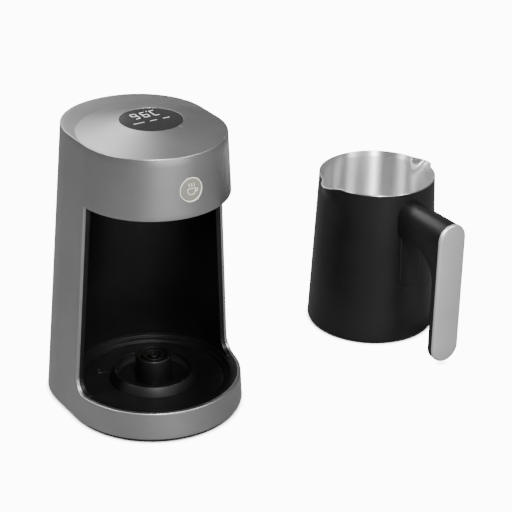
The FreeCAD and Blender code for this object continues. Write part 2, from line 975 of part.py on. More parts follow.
def make_jug_jacket():
    top = jacket_top()
    foot_radius_out = jug_radius(jacket_foot)
    body = turned([
        (0.0, jacket_foot),
        (foot_radius_out - jacket_edge, jacket_foot),
        (jug_radius(jacket_foot + jacket_edge), jacket_foot + jacket_edge),
        (jug_radius(top), top),
        (0.0, top),
    ])
    body = body.fuse(spout_body(0.0, top))
    hollow = jug_cone(jacket_wall, 0.0, jug_height).fuse(spout_body(jacket_wall, jug_height))
    return body.cut(hollow).removeSplitter()


def make_jug_vessel():
    top = jacket_top()
    inset = jacket_wall + vessel_gap
    low = vessel_floor - vessel_wall
    high = jug_height
    lining = turned([
        (0.0, low),
        (jug_radius(low) - inset, low, vessel_corner),
        (jug_radius(high) - inset, high),
        (0.0, high),
    ])
    lining = lining.fuse(spout_body(inset, high))
    rim = jug_cone(0.0, jacket_foot, high).fuse(spout_body(0.0, high))
    rim = rim.common(disc(2.0 * jug_base_radius, top, high))
    inner = inset + vessel_wall
    hollow = turned([
        (0.0, vessel_floor),
        (jug_radius(vessel_floor) - inner, vessel_floor, vessel_corner - vessel_wall),
        (jug_radius(high + past) - inner, high + past),
        (0.0, high + past),
    ])
    return lining.fuse(rim).cut([hollow] + spout_body(inner, high)).removeSplitter()


def heater_bottom():
    return socket_top()


def socket_ceiling():
    return boss_height + socket_head_room


def socket_top():
    return socket_ceiling() + socket_roof


def cover_ceiling():
    return foot_recess_height + foot_cover_wall


def make_jug_base_cover():
    ring_outer = jug_radius(0.0) - jacket_wall - vessel_gap
    top = cover_ceiling()
    hole = socket_radius + socket_wall + tray_fit
    return turned([
        (foot_ring_inner, 0.0),
        (ring_outer - foot_ring_edge, 0.0),
        (ring_outer, foot_ring_edge),
        (jug_radius(top) - jacket_wall - vessel_gap, top),
        (hole, top),
        (hole, foot_recess_height),
        (foot_ring_inner - foot_ring_edge, foot_recess_height),
    ])


def make_jug_socket():
    outer = socket_radius + socket_wall
    shelf = cover_ceiling()
    return turned([
        (socket_radius, foot_recess_height),
        (outer, foot_recess_height),
        (outer, shelf),
        (outer + socket_flange, shelf),
        (outer + socket_flange, shelf + foot_cover_wall),
        (outer, shelf + foot_cover_wall),
        (outer, socket_top()),
        (0.0, socket_top()),
        (0.0, socket_ceiling()),
        (socket_radius, socket_ceiling()),
    ])


def make_socket_contacts():
    low = socket_ceiling() - contact_height
    rings = []
    for outer, _ in (groove_one, groove_two):
        edge = outer - contact_wall - plug_gap
        rings.append(ring_between(edge, edge - plug_wall, low, socket_ceiling()))
    rings.append(disc(pin_radius, socket_ceiling() - pin_drop, socket_ceiling()))
    return Part.makeCompound(rings)


def make_heating_plate():
    return disc(heater_plate_radius, heater_bottom(), vessel_floor - vessel_wall)


def make_heating_element():
    # a flattened heating tube, brazed to the plate, with a gap between its two ends
    half = heater_ring_width / 2.0
    low = heater_bottom() - heater_ring_height
    ring = turned([
        (heater_ring_radius - half, low + heater_ring_edge),
        (heater_ring_radius - half + heater_ring_edge, low),
        (heater_ring_radius + half - heater_ring_edge, low),
        (heater_ring_radius + half, low + heater_ring_edge),
        (heater_ring_radius + half, heater_bottom()),
        (heater_ring_radius - half, heater_bottom()),
    ])
    gap = Part.makeBox(2.0 * heater_ring_width, 2.0 * heater_ring_radius, 2.0 * heater_ring_height,
                       V(-heater_ring_width, 0, low - past))
    return ring.cut(gap)


def make_temperature_sensor():
    distance = (socket_radius + socket_wall + heater_ring_radius - heater_ring_width / 2.0) / 2.0
    return disc(sensor_radius, heater_bottom() - heater_ring_height, heater_bottom(), distance, 0.0)


# Jug handle, towards the front


def stadium(half_width, low, high, front, back):
    corners = [
        (-half_width, low, half_width * round_share),
        (half_width, low, half_width * round_share),
        (half_width, high, half_width * round_share),
        (-half_width, high, half_width * round_share),
    ]
    return front_cut(corners, front, back)


def grip_back():
    return handle_reach - trim_thickness


def make_handle_mount():
    half = mount_width / 2.0
    pad = front_cut([
        (-half, mount_bottom, mount_corner),
        (half, mount_bottom, mount_corner),
        (half, mount_top),
        (-half, mount_top),
    ], -2.0 * jug_base_radius, 0.0)
    pad = pad.common(jug_cone(-mount_thickness, jacket_foot, jacket_top()))
    pad = pad.cut(jug_cone(0.0, 0.0, jug_height))
    return pad.cut(handle_screw_holes(handle_screw_radius + screw_fit))


def handle_profile():
    # seen from the side: y is the distance in front of the jug's axis
    grip_front = grip_back() - grip_thickness
    return side_cut([
        (-grip_back(), handle_bottom),
        (-grip_front, handle_bottom),
        (-grip_front, arm_low, arm_bend),
        (-jug_rim_radius + 4.0 * jacket_wall, arm_low),
        (-jug_rim_radius + 4.0 * jacket_wall, handle_top),
        (-grip_back(), handle_top),
    ], 2.0 * handle_width)


def handle_screw_levels():
    middle = handle_top - arm_height / 2.0
    return (middle - handle_screw_pitch / 2.0, middle + handle_screw_pitch / 2.0)


def handle_screw_holes(radius):
    return [rod(radius, -handle_reach, 0.0, 0.0, z) for z in handle_screw_levels()]


def make_handle_body():
    edge = trim_overhang
    outline = stadium(handle_width / 2.0 - edge, handle_bottom + edge, handle_top - edge, -handle_reach, 0.0)
    body = handle_profile().common(outline)
    body = body.cut([jug_cone(0.0, 0.0, 2.0 * jug_height), make_handle_mount()])
    body = body.cut(handle_screw_holes(handle_screw_radius + screw_fit))
    pockets = [rod(handle_screw_head + screw_fit, -handle_reach, -grip_back() + handle_screw_head, 0.0, z)
               for z in handle_screw_levels()]
    return body.cut(pockets).removeSplitter()


def make_handle_trim():
    plate = stadium(handle_width / 2.0, handle_bottom, handle_top, -handle_reach, -grip_back())
    front_edges = []
    for edge in plate.Edges:
        box = edge.BoundBox
        if box.YMax < -handle_reach + near:
            front_edges.append(edge)
    return plate.makeFillet(trim_edge, front_edges)


def make_handle_screws():
    screws = []
    for z in handle_screw_levels():
        tip = -jug_radius(z) - handle_screw_gap
        seat = -grip_back() + handle_screw_head
        head = rod(handle_screw_head, -grip_back() + handle_screw_sink, seat, 0.0, z)
        screws.append(head.fuse(rod(handle_screw_radius, seat, tip, 0.0, z)).removeSplitter())
    return Part.makeCompound(screws)


machine_makers = {
    "outer_housing": make_outer_housing,
    "display_lens": make_display_lens,
    "display_module": make_display_module,
    "display_board": make_display_board,
    "head_floor": make_head_floor,
    "head_screws": make_head_screws,
    "boil_sensor": make_boil_sensor,
    "cavity_liner": make_cavity_liner,
    "base_tray": make_base_tray,
    "tray_ring": make_tray_ring,
    "connector_body": make_connector_body,
    "connector_contacts": make_connector_contacts,
    "connector_pin": make_connector_pin,
    "bottom_cover": make_bottom_cover,
    "rubber_feet": make_rubber_feet,
    "bottom_screws": make_bottom_screws,
    "cord_gland": make_cord_gland,
    "button_light_ring": make_button_light_ring,
    "start_button": make_start_button,
    "switch_plunger": make_switch_plunger,
    "button_guide": make_button_guide,
    "button_switch": make_button_switch,
    "button_board": make_button_board,
    "control_board": make_control_board,
    "board_spacers": make_board_spacers,
    "control_chip": make_control_chip,
    "buzzer": make_buzzer,
    "power_board": make_power_board,
    "transformer": make_transformer,
    "relay": make_relay,
    "wiring_harness": make_wiring_harness,
    "supply_leads": make_supply_leads,
}

jug_makers = {
    "jug_vessel": make_jug_vessel,
    "jug_jacket": make_jug_jacket,
    "jug_base_cover": make_jug_base_cover,
    "jug_socket": make_jug_socket,
    "socket_contacts": make_socket_contacts,
    "heating_plate": make_heating_plate,
    "heating_element": make_heating_element,
    "temperature_sensor": make_temperature_sensor,
    "handle_mount": make_handle_mount,
    "handle_body": make_handle_body,
    "handle_trim": make_handle_trim,
    "handle_screws": make_handle_screws,
}


def row_origin():
    # the middle of the whole footprint, machine and jug together
    left = -housing_radius(housing_foot)
    right = jug_place_x + max(jug_radius(jacket_foot + jacket_edge), jug_rim_radius + spout_reach)
    front = min(-housing_radius(housing_foot), jug_place_y - handle_reach)
    back = max(gland_outside_y(), jug_place_y + jug_radius(jacket_foot + jacket_edge))
    return (left + right) / 2.0, (front + back) / 2.0


def main():
    os.makedirs("parts", exist_ok=True)
    origin_x, origin_y = row_origin()
    groups = [
        (machine_makers, V(-origin_x, -origin_y, 0)),
        (jug_makers, V(jug_place_x - origin_x, jug_place_y - origin_y, 0)),
    ]
    for makers, move in groups:
        for name, make in makers.items():
            shape = make()
            shape.translate(move)
            shape.exportStep("parts/" + name + ".step")
            print(name, len(shape.Solids), "solid", round(shape.Volume, 1), shape.isValid())
    print("origin", round(origin_x, 3), round(origin_y, 3))


main()
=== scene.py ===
# %% [markdown]
# # An electric coffee maker for one small pot
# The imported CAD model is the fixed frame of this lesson. Everything below is a visible piece that
# rides on one of its bodies, in metres and in the same place. The machine stands on the left and the
# jug, lifted off it, on the right.

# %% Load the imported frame
import bpy
import bmesh
import json
import math
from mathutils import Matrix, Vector


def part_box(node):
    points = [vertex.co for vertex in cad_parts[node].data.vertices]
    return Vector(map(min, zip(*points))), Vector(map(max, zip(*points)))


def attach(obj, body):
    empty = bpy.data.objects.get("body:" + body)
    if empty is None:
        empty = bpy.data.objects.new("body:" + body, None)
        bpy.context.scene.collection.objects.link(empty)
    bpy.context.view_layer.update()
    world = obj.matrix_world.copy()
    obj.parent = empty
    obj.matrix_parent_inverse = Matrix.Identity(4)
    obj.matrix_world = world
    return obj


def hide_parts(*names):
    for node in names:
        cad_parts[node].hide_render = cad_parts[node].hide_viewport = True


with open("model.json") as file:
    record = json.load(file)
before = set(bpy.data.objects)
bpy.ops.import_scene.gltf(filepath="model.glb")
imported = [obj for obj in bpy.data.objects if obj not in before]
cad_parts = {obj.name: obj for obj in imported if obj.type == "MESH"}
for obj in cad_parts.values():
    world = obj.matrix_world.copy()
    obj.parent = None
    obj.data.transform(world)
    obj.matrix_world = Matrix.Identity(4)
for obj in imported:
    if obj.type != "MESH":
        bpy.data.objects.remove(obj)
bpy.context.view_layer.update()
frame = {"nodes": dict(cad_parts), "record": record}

MM = 0.001


def linked(name, data):
    made = bpy.data.objects.new(name, data)
    bpy.context.scene.collection.objects.link(made)
    return made


# %% [markdown]
# ## Where the two axes stand
# Two round pieces of the frame give the axes that nearly everything turns about: the connector in
# the machine's base and the socket under the jug. Reading them from the frame keeps the finished
# pieces in place if the frame is packed again.

# %% The two axes and the sizes that come from the frame


def middle_of(name):
    low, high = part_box(name)
    return (low + high) / 2.0


machine_axis = middle_of("connector_body")
jug_axis = middle_of("jug_socket")
housing_low, housing_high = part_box("outer_housing")
cone_top = housing_high.z
wall_foot = housing_low.z
foot_radius = (housing_high.x - housing_low.x) / 2.0
base_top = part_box("base_tray")[1].z
jug_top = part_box("jug_vessel")[1].z
print("machine axis", tuple(machine_axis), "jug axis", tuple(jug_axis))

# %% [markdown]
# ## Camera
# The product was taken from the front left, a little above, with a long lens, so the upright lines
# hardly lean. The camera is turned by three angles: round the upright axis, down, and a slight roll.

# %% Camera
camera_turn = math.radians(33.02)
camera_tilt = math.radians(25.896)
camera_roll = math.radians(1.089)
camera_place = Vector((-537.1, -958.9, 646.9)) * MM + Vector((machine_axis.x, machine_axis.y, 0.0))
focal_length = 122.83

forward = Vector((
    math.sin(camera_turn) * math.cos(camera_tilt),
    math.cos(camera_turn) * math.cos(camera_tilt),
    -math.sin(camera_tilt),
))
level_right = Vector((math.cos(camera_turn), -math.sin(camera_turn), 0.0))
level_up = level_right.cross(forward)
camera_right = level_right * math.cos(camera_roll) + level_up * math.sin(camera_roll)
camera_up = level_up * math.cos(camera_roll) - level_right * math.sin(camera_roll)

lens = bpy.data.cameras.new("camera")
lens.sensor_width = 36.0
lens.lens = focal_length
camera = linked("camera", lens)
camera_frame = camera.matrix_world.to_3x3()
camera_frame.col[0] = camera_right
camera_frame.col[1] = camera_up
camera_frame.col[2] = -forward
camera.matrix_world = camera_frame.to_4x4()
camera.location = camera_place
bpy.context.scene.camera = camera
print("camera at", tuple(round(value, 4) for value in camera.location))

# %% [markdown]
# ## Shader groups that several finishes share
# Real paint, plastic and metal are never one flat colour. Three effects come back in the finishes: a
# slow drift of tone and gloss over the surface, a fine grain that the light catches, and sharp edges
# painted a little lighter, partly as rubbed wear and partly as a painted highlight. Each is a small
# group with its own inputs, so that every material places it with its own sizes.

# %% Shader groups


def shader_group(name, inputs, outputs):
    group = bpy.data.node_groups.new(name, "ShaderNodeTree")
    for socket_name, socket_type, value in inputs:
        socket = group.interface.new_socket(socket_name, in_out="INPUT", socket_type=socket_type)
        if value is not None:
            socket.default_value = value
    for socket_name in outputs:
        group.interface.new_socket(socket_name, in_out="OUTPUT", socket_type="NodeSocketFloat")
    entry = group.nodes.new("NodeGroupInput").outputs
    leave = group.nodes.new("NodeGroupOutput")
    return group, entry, leave


def filled(tree, made, inputs):
    """Fills a node's inputs with links or numbers."""
    for name, value in inputs.items():
        if isinstance(value, bpy.types.NodeSocket):
            tree.links.new(value, made.inputs[name])
        else:
            made.inputs[name].default_value = value


def node(tree, kind, inputs, output=None, **settings):
    """Adds a node with its inputs filled, and gives one of its outputs, or the node if none is named."""
    made = tree.nodes.new(kind)
    for name, value in settings.items():
        setattr(made, name, value)
    filled(tree, made, inputs)
    return made if output is None else made.outputs[output]


def noise(tree, vector, scale, detail=2.0):
    return node(tree, "ShaderNodeTexNoise", {"Vector": vector, "Scale": scale, "Detail": detail}, "Fac")


def spread(tree, value, low, high, out_low, out_high):
    return node(tree, "ShaderNodeMapRange", {
        "Value": value, "From Min": low, "From Max": high, "To Min": out_low, "To Max": out_high}, "Result")


drift_group, entry, leave = shader_group(
    "tone_and_gloss",
    [("Vector", "NodeSocketVector", None), ("Scale", "NodeSocketFloat", 18.0),
     ("Smooth", "NodeSocketFloat", 0.3), ("Rough", "NodeSocketFloat", 0.4)],
    ["Tone", "Roughness"])
slow = noise(drift_group, entry["Vector"], entry["Scale"], 3.0)
filled(drift_group, leave, {
    "Tone": spread(drift_group, slow, 0.35, 0.65, 0.0, 1.0),
    "Roughness": spread(drift_group, slow, 0.3, 0.7, entry["Smooth"], entry["Rough"]),
})

grain_group, entry, leave = shader_group(
    "fine_grain",
    [("Vector", "NodeSocketVector", None), ("Scale", "NodeSocketFloat", 2000.0),
     ("Stretch", "NodeSocketVector", (1.0, 1.0, 1.0))],
    ["Height"])
stretched = node(grain_group, "ShaderNodeVectorMath", {0: entry["Vector"], 1: entry["Stretch"]}, "Vector",
                 operation="MULTIPLY")
filled(grain_group, leave, {"Height": noise(grain_group, stretched, entry["Scale"], 4.0)})

# Sharp edges, found by pointiness, get a lighter colour: partly rubbed wear, partly a painted highlight where
# edges catch the light.
wear_and_highlight_group, entry, leave = shader_group(
    "worn_and_highlit_edges",
    [("Vector", "NodeSocketVector", None), ("Sharpness", "NodeSocketFloat", 0.60),
     ("Patches", "NodeSocketFloat", 90.0)],
    ["Mask"])
bend = node(wear_and_highlight_group, "ShaderNodeNewGeometry", {}, "Pointiness")
edge_mask = spread(wear_and_highlight_group, bend, 0.54, entry["Sharpness"], 0.0, 1.0)
blotches = noise(wear_and_highlight_group, entry["Vector"], entry["Patches"])
patches = spread(wear_and_highlight_group, blotches, 0.3, 0.7, 0.5, 1.0)
wear_and_highlight_mask = node(wear_and_highlight_group, "ShaderNodeMath", {0: edge_mask, 1: patches}, "Value", operation="MULTIPLY")
filled(wear_and_highlight_group, leave, {"Mask": wear_and_highlight_mask})
print("groups", drift_group.name, grain_group.name, wear_and_highlight_group.name)

# %% [markdown]
# ## One recipe for every finish
# A finish is a colour that drifts a little towards a second colour, a range of gloss, a grain with a
# height in millimetres and a lighter colour for its sharp edges, partly rubbed wear and partly a
# painted edge highlight. Numbers that are the same all over go straight onto the shader.

# %% The recipe


def colour_mix(tree, share, first, second):
    """Inputs 6 and 7 of a Mix node are its two colours, and output 2 is the mixed one."""
    return node(tree, "ShaderNodeMix", {"Factor": share, 6: first, 7: second}, 2, data_type="RGBA")


def finish(name, colour, second, smooth, rough, grain_scale, grain_height,
           metallic=0.0, stretch=(1.0, 1.0, 1.0), glow=0.0, edge_wear_and_highlight=None, specular=0.5):
    material = bpy.data.materials.new(name)
    material.use_nodes = True
    tree = material.node_tree
    shader = tree.nodes["Principled BSDF"]
    place = node(tree, "ShaderNodeTexCoord", {}, "Object")
    drift = node(tree, "ShaderNodeGroup", {"Vector": place, "Smooth": smooth, "Rough": rough},
                 node_tree=drift_group)
    shown = colour_mix(tree, drift.outputs["Tone"], (*colour, 1.0), (*second, 1.0))
    # Sharp edges lightened: partly rubbed wear, partly a painted edge highlight.
    if edge_wear_and_highlight:
        mask = node(tree, "ShaderNodeGroup", {"Vector": place}, "Mask", node_tree=wear_and_highlight_group)
        shown = colour_mix(tree, mask, shown, (*edge_wear_and_highlight, 1.0))
    height = node(tree, "ShaderNodeGroup", {"Vector": place, "Scale": grain_scale, "Stretch": stretch},
                  "Height", node_tree=grain_group)
    normal = node(tree, "ShaderNodeBump", {"Height": height, "Distance": grain_height * MM}, "Normal")
    filled(tree, shader, {
        "Base Color": shown, "Roughness": drift.outputs["Roughness"], "Normal": normal,
        "Metallic": metallic, "Specular IOR Level": specular,
    })
    if glow > 0.0:
        filled(tree, shader, {"Emission Color": shown, "Emission Strength": glow})
    return material


def grey(value):
    return (value, value, value)


# %% [markdown]
# ## The finishes
# The housing is sprayed with a grey metallic paint. The blacks differ in gloss: paint on the jug, a
# duller moulded plastic in the machine and a smoother one on the handle. The steel is brushed round
# the jug, and such fine lines spread every reflection across them. The shader does that with its
# anisotropy, along a tangent that runs round the upright axis.

# %% Finishes
housing_paint = finish("grey_metallic_paint", grey(0.36), grey(0.39), 0.34, 0.42, 1500.0, 0.010,
                       metallic=1.0, edge_wear_and_highlight=grey(0.62))
satin_black = finish("satin_black_paint", grey(0.0035), grey(0.0055), 0.36, 0.44, 1400.0, 0.012,
                     edge_wear_and_highlight=grey(0.03), specular=0.36)
liner_black = finish("moulded_black_plastic", grey(0.0015), grey(0.003), 0.36, 0.46, 1200.0, 0.016,
                     edge_wear_and_highlight=grey(0.03), specular=0.3)
soft_black = finish("satin_black_handle", grey(0.003), grey(0.005), 0.34, 0.42, 1300.0, 0.012,
                    edge_wear_and_highlight=grey(0.03), specular=0.4)
brushed_steel = finish("brushed_steel", grey(0.86), grey(0.90), 0.36, 0.40, 60.0, 0.030,
                       metallic=1.0, stretch=(0.4, 0.4, 60.0))
steel_tree = brushed_steel.node_tree
filled(steel_tree, steel_tree.nodes["Principled BSDF"], {
    "Anisotropic": 1.0, "Anisotropic Rotation": 0.25,
    "Tangent": node(steel_tree, "ShaderNodeTangent", {}, "Tangent", direction_type="RADIAL", axis="Z"),
})
satin_silver = finish("satin_silver", grey(0.72), grey(0.76), 0.34, 0.42, 1500.0, 0.008, metallic=0.85)
window_glass = finish("smoked_window", grey(0.012), grey(0.015), 0.2, 0.26, 400.0, 0.002, specular=0.3)
lit_white = finish("lit_segments", grey(0.75), grey(0.80), 0.30, 0.40, 1500.0, 0.004, glow=0.7)
# The printed marks carry a faint painted glow: emission on a print that has no lamp behind it.
mark_white = finish("printed_marks_with_painted_glow", grey(0.40), grey(0.46), 0.40, 0.50, 1500.0, 0.004, glow=0.2)
ring_white = finish("warm_white_ring", (0.80, 0.78, 0.68), (0.86, 0.85, 0.76), 0.30, 0.40, 1500.0, 0.004,
                    glow=0.35)
button_olive = finish("translucent_button", (0.18, 0.178, 0.148), (0.20, 0.198, 0.165), 0.35, 0.45, 1500.0,
                      0.006, glow=0.05)
feet_rubber = finish("black_rubber", grey(0.015), grey(0.02), 0.65, 0.8, 900.0, 0.03)
screw_steel = finish("zinc_plated_steel", grey(0.55), grey(0.62), 0.30, 0.42, 900.0, 0.01, metallic=1.0)
# The brass contacts are darkened nearly to black: painted shade standing in for the shade deep in the
# connector's grooves.
contact_brass = finish("brass_darkened_as_groove_shade", (0.06, 0.05, 0.038), (0.08, 0.066, 0.05), 0.42, 0.55, 900.0, 0.006,
                       metallic=1.0)
board_green = finish("circuit_board", (0.02, 0.12, 0.05), (0.03, 0.16, 0.07), 0.35, 0.5, 700.0, 0.02)
plate_aluminium = finish("cast_aluminium", grey(0.50), grey(0.58), 0.40, 0.55, 700.0, 0.03, metallic=1.0)
print("finishes", len(bpy.data.materials))

# %% [markdown]
# ## Turning a profile
# The tray, the rings, the connector and the jug are all round. Each is a closed profile of radius
# and height, turned about its axis. Every corner of the profile has its own small rounding, because
# real edges are never sharp and it is the rounding that catches a line of light.

# %% Profile and turning tools


def rounded(corners, steps=4):
    """Corners are (a, b, rounding). The result is the closed outline with its arcs."""
    outline = []
    for index, (a, b, rounding) in enumerate(corners):
        here = Vector((a, b))
        if rounding <= 0.0:
            outline.append(here)
            continue
        before = (Vector(corners[index - 1][:2]) - here).normalized()
        after = (Vector(corners[(index + 1) % len(corners)][:2]) - here).normalized()
        half = before.angle(after) / 2.0
        reach = rounding / math.tan(half)
        centre = here + (before + after).normalized() * (rounding / math.sin(half))
        start = (here + before * reach - centre) / rounding
        end = (here + after * reach - centre) / rounding
        for step in range(steps + 1):
            outline.append(centre + start.slerp(end, step / steps) * rounding)
    return outline


def divided(outline, longest):
    """The same closed outline with no edge longer than longest."""
    result = []
    for index, point in enumerate(outline):
        reach = outline[(index + 1) % len(outline)] - point
        pieces = max(1, math.ceil(reach.length / longest))
        result.extend(point + reach * (part / pieces) for part in range(pieces))
    return result


def stations(low, high, count):
    """The ends of count equal stretches between low and high."""
    return [low + (high - low) * step / count for step in range(count + 1)]


def joined_rings(shape, rings):
    """Faces from each ring of points to the next one, without the corners that coincide."""
    for ring, following in zip(rings, rings[1:]):
        for step in range(len(ring)):
            near = (step + 1) % len(ring)
            distinct = list(dict.fromkeys([ring[step], following[step], following[near], ring[near]]))
            if len(distinct) > 2:
                shape.faces.new(distinct)
    return shape


def ringed(outline, place, steps):
    """Turns a closed outline of (radius, height), with each point at place(radius, height, angle)."""
    shape = bmesh.new()
    rings = []
    for radius, height in outline:
        if radius < 1e-7:
            rings.append([shape.verts.new(place(0.0, height, 0.0))] * steps)
        else:
            rings.append([shape.verts.new(place(radius, height, 2.0 * math.pi * step / steps))
                          for step in range(steps)])
    return joined_rings(shape, rings + rings[:1])


def turned(outline, axis, steps=144, swell=None):
    """Turns about the upright axis. swell(angle, radius, height) gives a point's shift outwards and up."""
    def place(radius, height, angle):
        out, up = swell(angle, radius, height) if swell else (0.0, 0.0)
        reach = radius + out
        return axis.x + reach * math.cos(angle), axis.y + reach * math.sin(angle), height + up
    return ringed(outline, place, steps)


def millimetres(corners, low=0.0):
    return [(corner[0] * MM, low + corner[1] * MM, (corner[2] if len(corner) > 2 else 0.0) * MM)
            for corner in corners]


def closed(shape):
    """Merges double points and turns the faces outwards."""
    bmesh.ops.remove_doubles(shape, verts=shape.verts, dist=1e-6)
    bmesh.ops.recalc_face_normals(shape, faces=shape.faces)
    return shape


def loose_object(name, shape):
    mesh = bpy.data.meshes.new(name)
    shape.to_mesh(mesh)
    shape.free()
    return linked(name, mesh)


def hand_over(made, body, material, stands_for=()):
    """Shades the piece smooth between its sharp edges and puts it on its body."""
    made.data.shade_smooth()
    made.data.set_sharp_from_angle(angle=math.radians(32.0))
    made.data.materials.clear()
    made.data.materials.append(material)
    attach(made, body)
    if stands_for:
        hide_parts(*stands_for)
    print(made.name, "faces", len(made.data.polygons))


def piece(name, shape, body, material, stands_for=()):
    hand_over(loose_object(name, closed(shape)), body, material, stands_for)


def slab(front, back):
    """Two grids of places, one behind the other, joined round their border."""
    shape = bmesh.new()
    grids = [[[shape.verts.new(spot) for spot in row] for row in rows] for rows in (front, back)]
    for grid, order in zip(grids, (1, -1)):
        for lower, upper in zip(grid, grid[1:]):
            for column in range(len(lower) - 1):
                corners = [lower[column], lower[column + 1], upper[column + 1], upper[column]]
                shape.faces.new(corners[::order])
    outer, inner = (
        grid[0] + [row[-1] for row in grid[1:]] + grid[-1][-2::-1] + [row[0] for row in grid[-2:0:-1]]
        for grid in grids)
    for index in range(len(outer)):
        following = (index + 1) % len(outer)
        shape.faces.new([outer[following], outer[index], inner[index], inner[following]])
    return shape


# %% [markdown]
# ## Growing what repeats
# Display bars, screws and feet repeat one small shape, and the lit lines on the button follow a path.
# Geometry Nodes suit both: a tree makes the shape from its named sizes, puts one on every point of a
# small mesh, turns the copies into real mesh and gives them their finish. The result is kept as plain
# mesh, and the modifier goes.

# %% Trees and grown pieces


def geometry_tree(name, sizes):
    tree = bpy.data.node_groups.new(name, "GeometryNodeTree")
    tree.interface.new_socket("Points", in_out="INPUT", socket_type="NodeSocketGeometry")
    for label, value in sizes:
        size = tree.interface.new_socket(label, in_out="INPUT", socket_type="NodeSocketFloat")
        size.default_value = value * MM
    tree.interface.new_socket("Material", in_out="INPUT", socket_type="NodeSocketMaterial")
    tree.interface.new_socket("Geometry", in_out="OUTPUT", socket_type="NodeSocketGeometry")
    entry = tree.nodes.new("NodeGroupInput").outputs
    leave = tree.nodes.new("NodeGroupOutput").inputs["Geometry"]
    return tree, entry, leave


def maths(tree, operation, first, second=0.0):
    return node(tree, "ShaderNodeMath", {0: first, 1: second}, "Value", operation=operation)


def vector_of(tree, x, y, z):
    return node(tree, "ShaderNodeCombineXYZ", {"X": x, "Y": y, "Z": z}, "Vector")


def stored(tree, name):
    return node(tree, "GeometryNodeInputNamedAttribute", {"Name": name}, "Attribute", data_type="FLOAT")


def joined(tree, shapes):
    made = tree.nodes.new("GeometryNodeJoinGeometry")
    for shape in shapes:
        tree.links.new(shape, made.inputs["Geometry"])
    return made.outputs["Geometry"]


def finished(tree, entry, leave, shape):
    real = node(tree, "GeometryNodeRealizeInstances", {"Geometry": shape}, "Geometry")
    dressed = node(tree, "GeometryNodeSetMaterial", {"Geometry": real, "Material": entry["Material"]},
                   "Geometry")
    tree.links.new(dressed, leave)


def on_points(tree, entry, leave, shape):
    """One copy on every point, turned and stretched as the point says."""
    copies = node(tree, "GeometryNodeInstanceOnPoints", {
        "Points": entry["Points"], "Instance": shape,
        "Rotation": vector_of(tree, 0.0, 0.0, stored(tree, "turn")),
        "Scale": vector_of(tree, stored(tree, "stretch"), 1.0, 1.0),
    }, "Instances")
    finished(tree, entry, leave, copies)


def grown(name, tree, points, body, material, edges=(), stands_for=(), sizes=()):
    """points are (place, turn, stretch), sizes are the tree's named inputs in millimetres."""
    mesh = bpy.data.meshes.new(name)
    mesh.from_pydata([place for place, turn, stretch in points], list(edges), [])
    for column, label in ((1, "turn"), (2, "stretch")):
        values = mesh.attributes.new(label, "FLOAT", "POINT")
        for index, point in enumerate(points):
            values.data[index].value = point[column]
    made = linked(name, mesh)
    modifier = made.modifiers.new("grown", "NODES")
    modifier.node_group = tree
    given = {label: size * MM for label, size in dict(sizes).items()}
    given["Material"] = material
    for item in tree.interface.items_tree:
        if item.in_out == "INPUT" and item.name in given:
            modifier[item.identifier] = given[item.name]
    hand_over(applied(made), body, material, stands_for)


def applied(made):
    """The object with its modifiers turned into plain mesh."""
    bpy.context.view_layer.update()
    evaluated = made.evaluated_get(bpy.context.evaluated_depsgraph_get())
    mesh = bpy.data.meshes.new_from_object(evaluated)
    made.modifiers.clear()
    made.data = mesh
    return made


def boolean_of(made, cutter, operation):
    modifier = made.modifiers.new("cut", "BOOLEAN")
    modifier.operation = operation
    modifier.solver = "EXACT"
    modifier.object = cutter
    applied(made)
    bpy.data.objects.remove(cutter)


# %% [markdown]
# ## A sheet that becomes a shell
# The housing is a moulded wall 2.5 mm thick with an opening, a window and two round holes. It is made
# as a sheet of quads first. Each point of the sheet is a small function that says where the point
# lies for an offset from the nearest edge and a depth into the wall. One tool then makes the outside,
# the inside and a rounded edge along every border, so all cut edges get the same narrow bright line.

# %% Sheet and shell tools


class Sheet:
    def __init__(self):
        self.places = []
        self.faces = []
        self.known = {}

    def point(self, place):
        spot = place(0.0, 0.0)
        key = tuple(round(value * 1e7) for value in spot)
        if key not in self.known:
            self.known[key] = len(self.places)
            self.places.append(place)
        return self.known[key]

    def rows(self, rows, leave_out=None):
        numbers = [[self.point(place) for place in row] for row in rows]
        for upper in range(len(rows) - 1):
            for column in range(len(rows[upper]) - 1):
                if leave_out and leave_out(upper, column):
                    continue
                corners = [numbers[upper][column], numbers[upper][column + 1],
                           numbers[upper + 1][column + 1], numbers[upper + 1][column]]
                distinct = list(dict.fromkeys(corners))
                if len(distinct) > 2:
                    self.faces.append(distinct)

    def borders(self):
        uses = {}
        for face in self.faces:
            for index, corner in enumerate(face):
                edge = (corner, face[(index + 1) % len(face)])
                uses.setdefault(frozenset(edge), []).append(edge)
        return [edges[0] for edges in uses.values() if len(edges) == 1]

    def shell(self, wall, edge, steps=4):
        shape = bmesh.new()
        outside = [shape.verts.new(place(edge, 0.0)) for place in self.places]
        inside = [shape.verts.new(place(0.0, wall)) for place in self.places]
        for face in self.faces:
            shape.faces.new([outside[corner] for corner in face])
            shape.faces.new([inside[corner] for corner in reversed(face)])
        across = {}
        for first, second in self.borders():
            for corner in (first, second):
                if corner in across:
                    continue
                line = [outside[corner]]
                for step in range(1, steps + 1):
                    turn = math.pi / 2.0 * step / steps
                    line.append(shape.verts.new(self.places[corner](
                        edge * (1.0 - math.sin(turn)), edge * (1.0 - math.cos(turn)))))
                across[corner] = line + [inside[corner]]
            for level in range(len(across[first]) - 1):
                shape.faces.new([across[first][level], across[first][level + 1],
                                 across[second][level + 1], across[second][level]])
        return shape


# %% [markdown]
# ## Housing
# Seen from above the housing is a half circle in front, two short straight sides and two large rounded
# back corners. It tapers upwards in straight lines. Its outline is followed by a distance called run,
# from the point beside the axis: negative towards the front, positive towards the back. The front is
# open between the base ring and the head, and the cut turns into the base with a large arc.

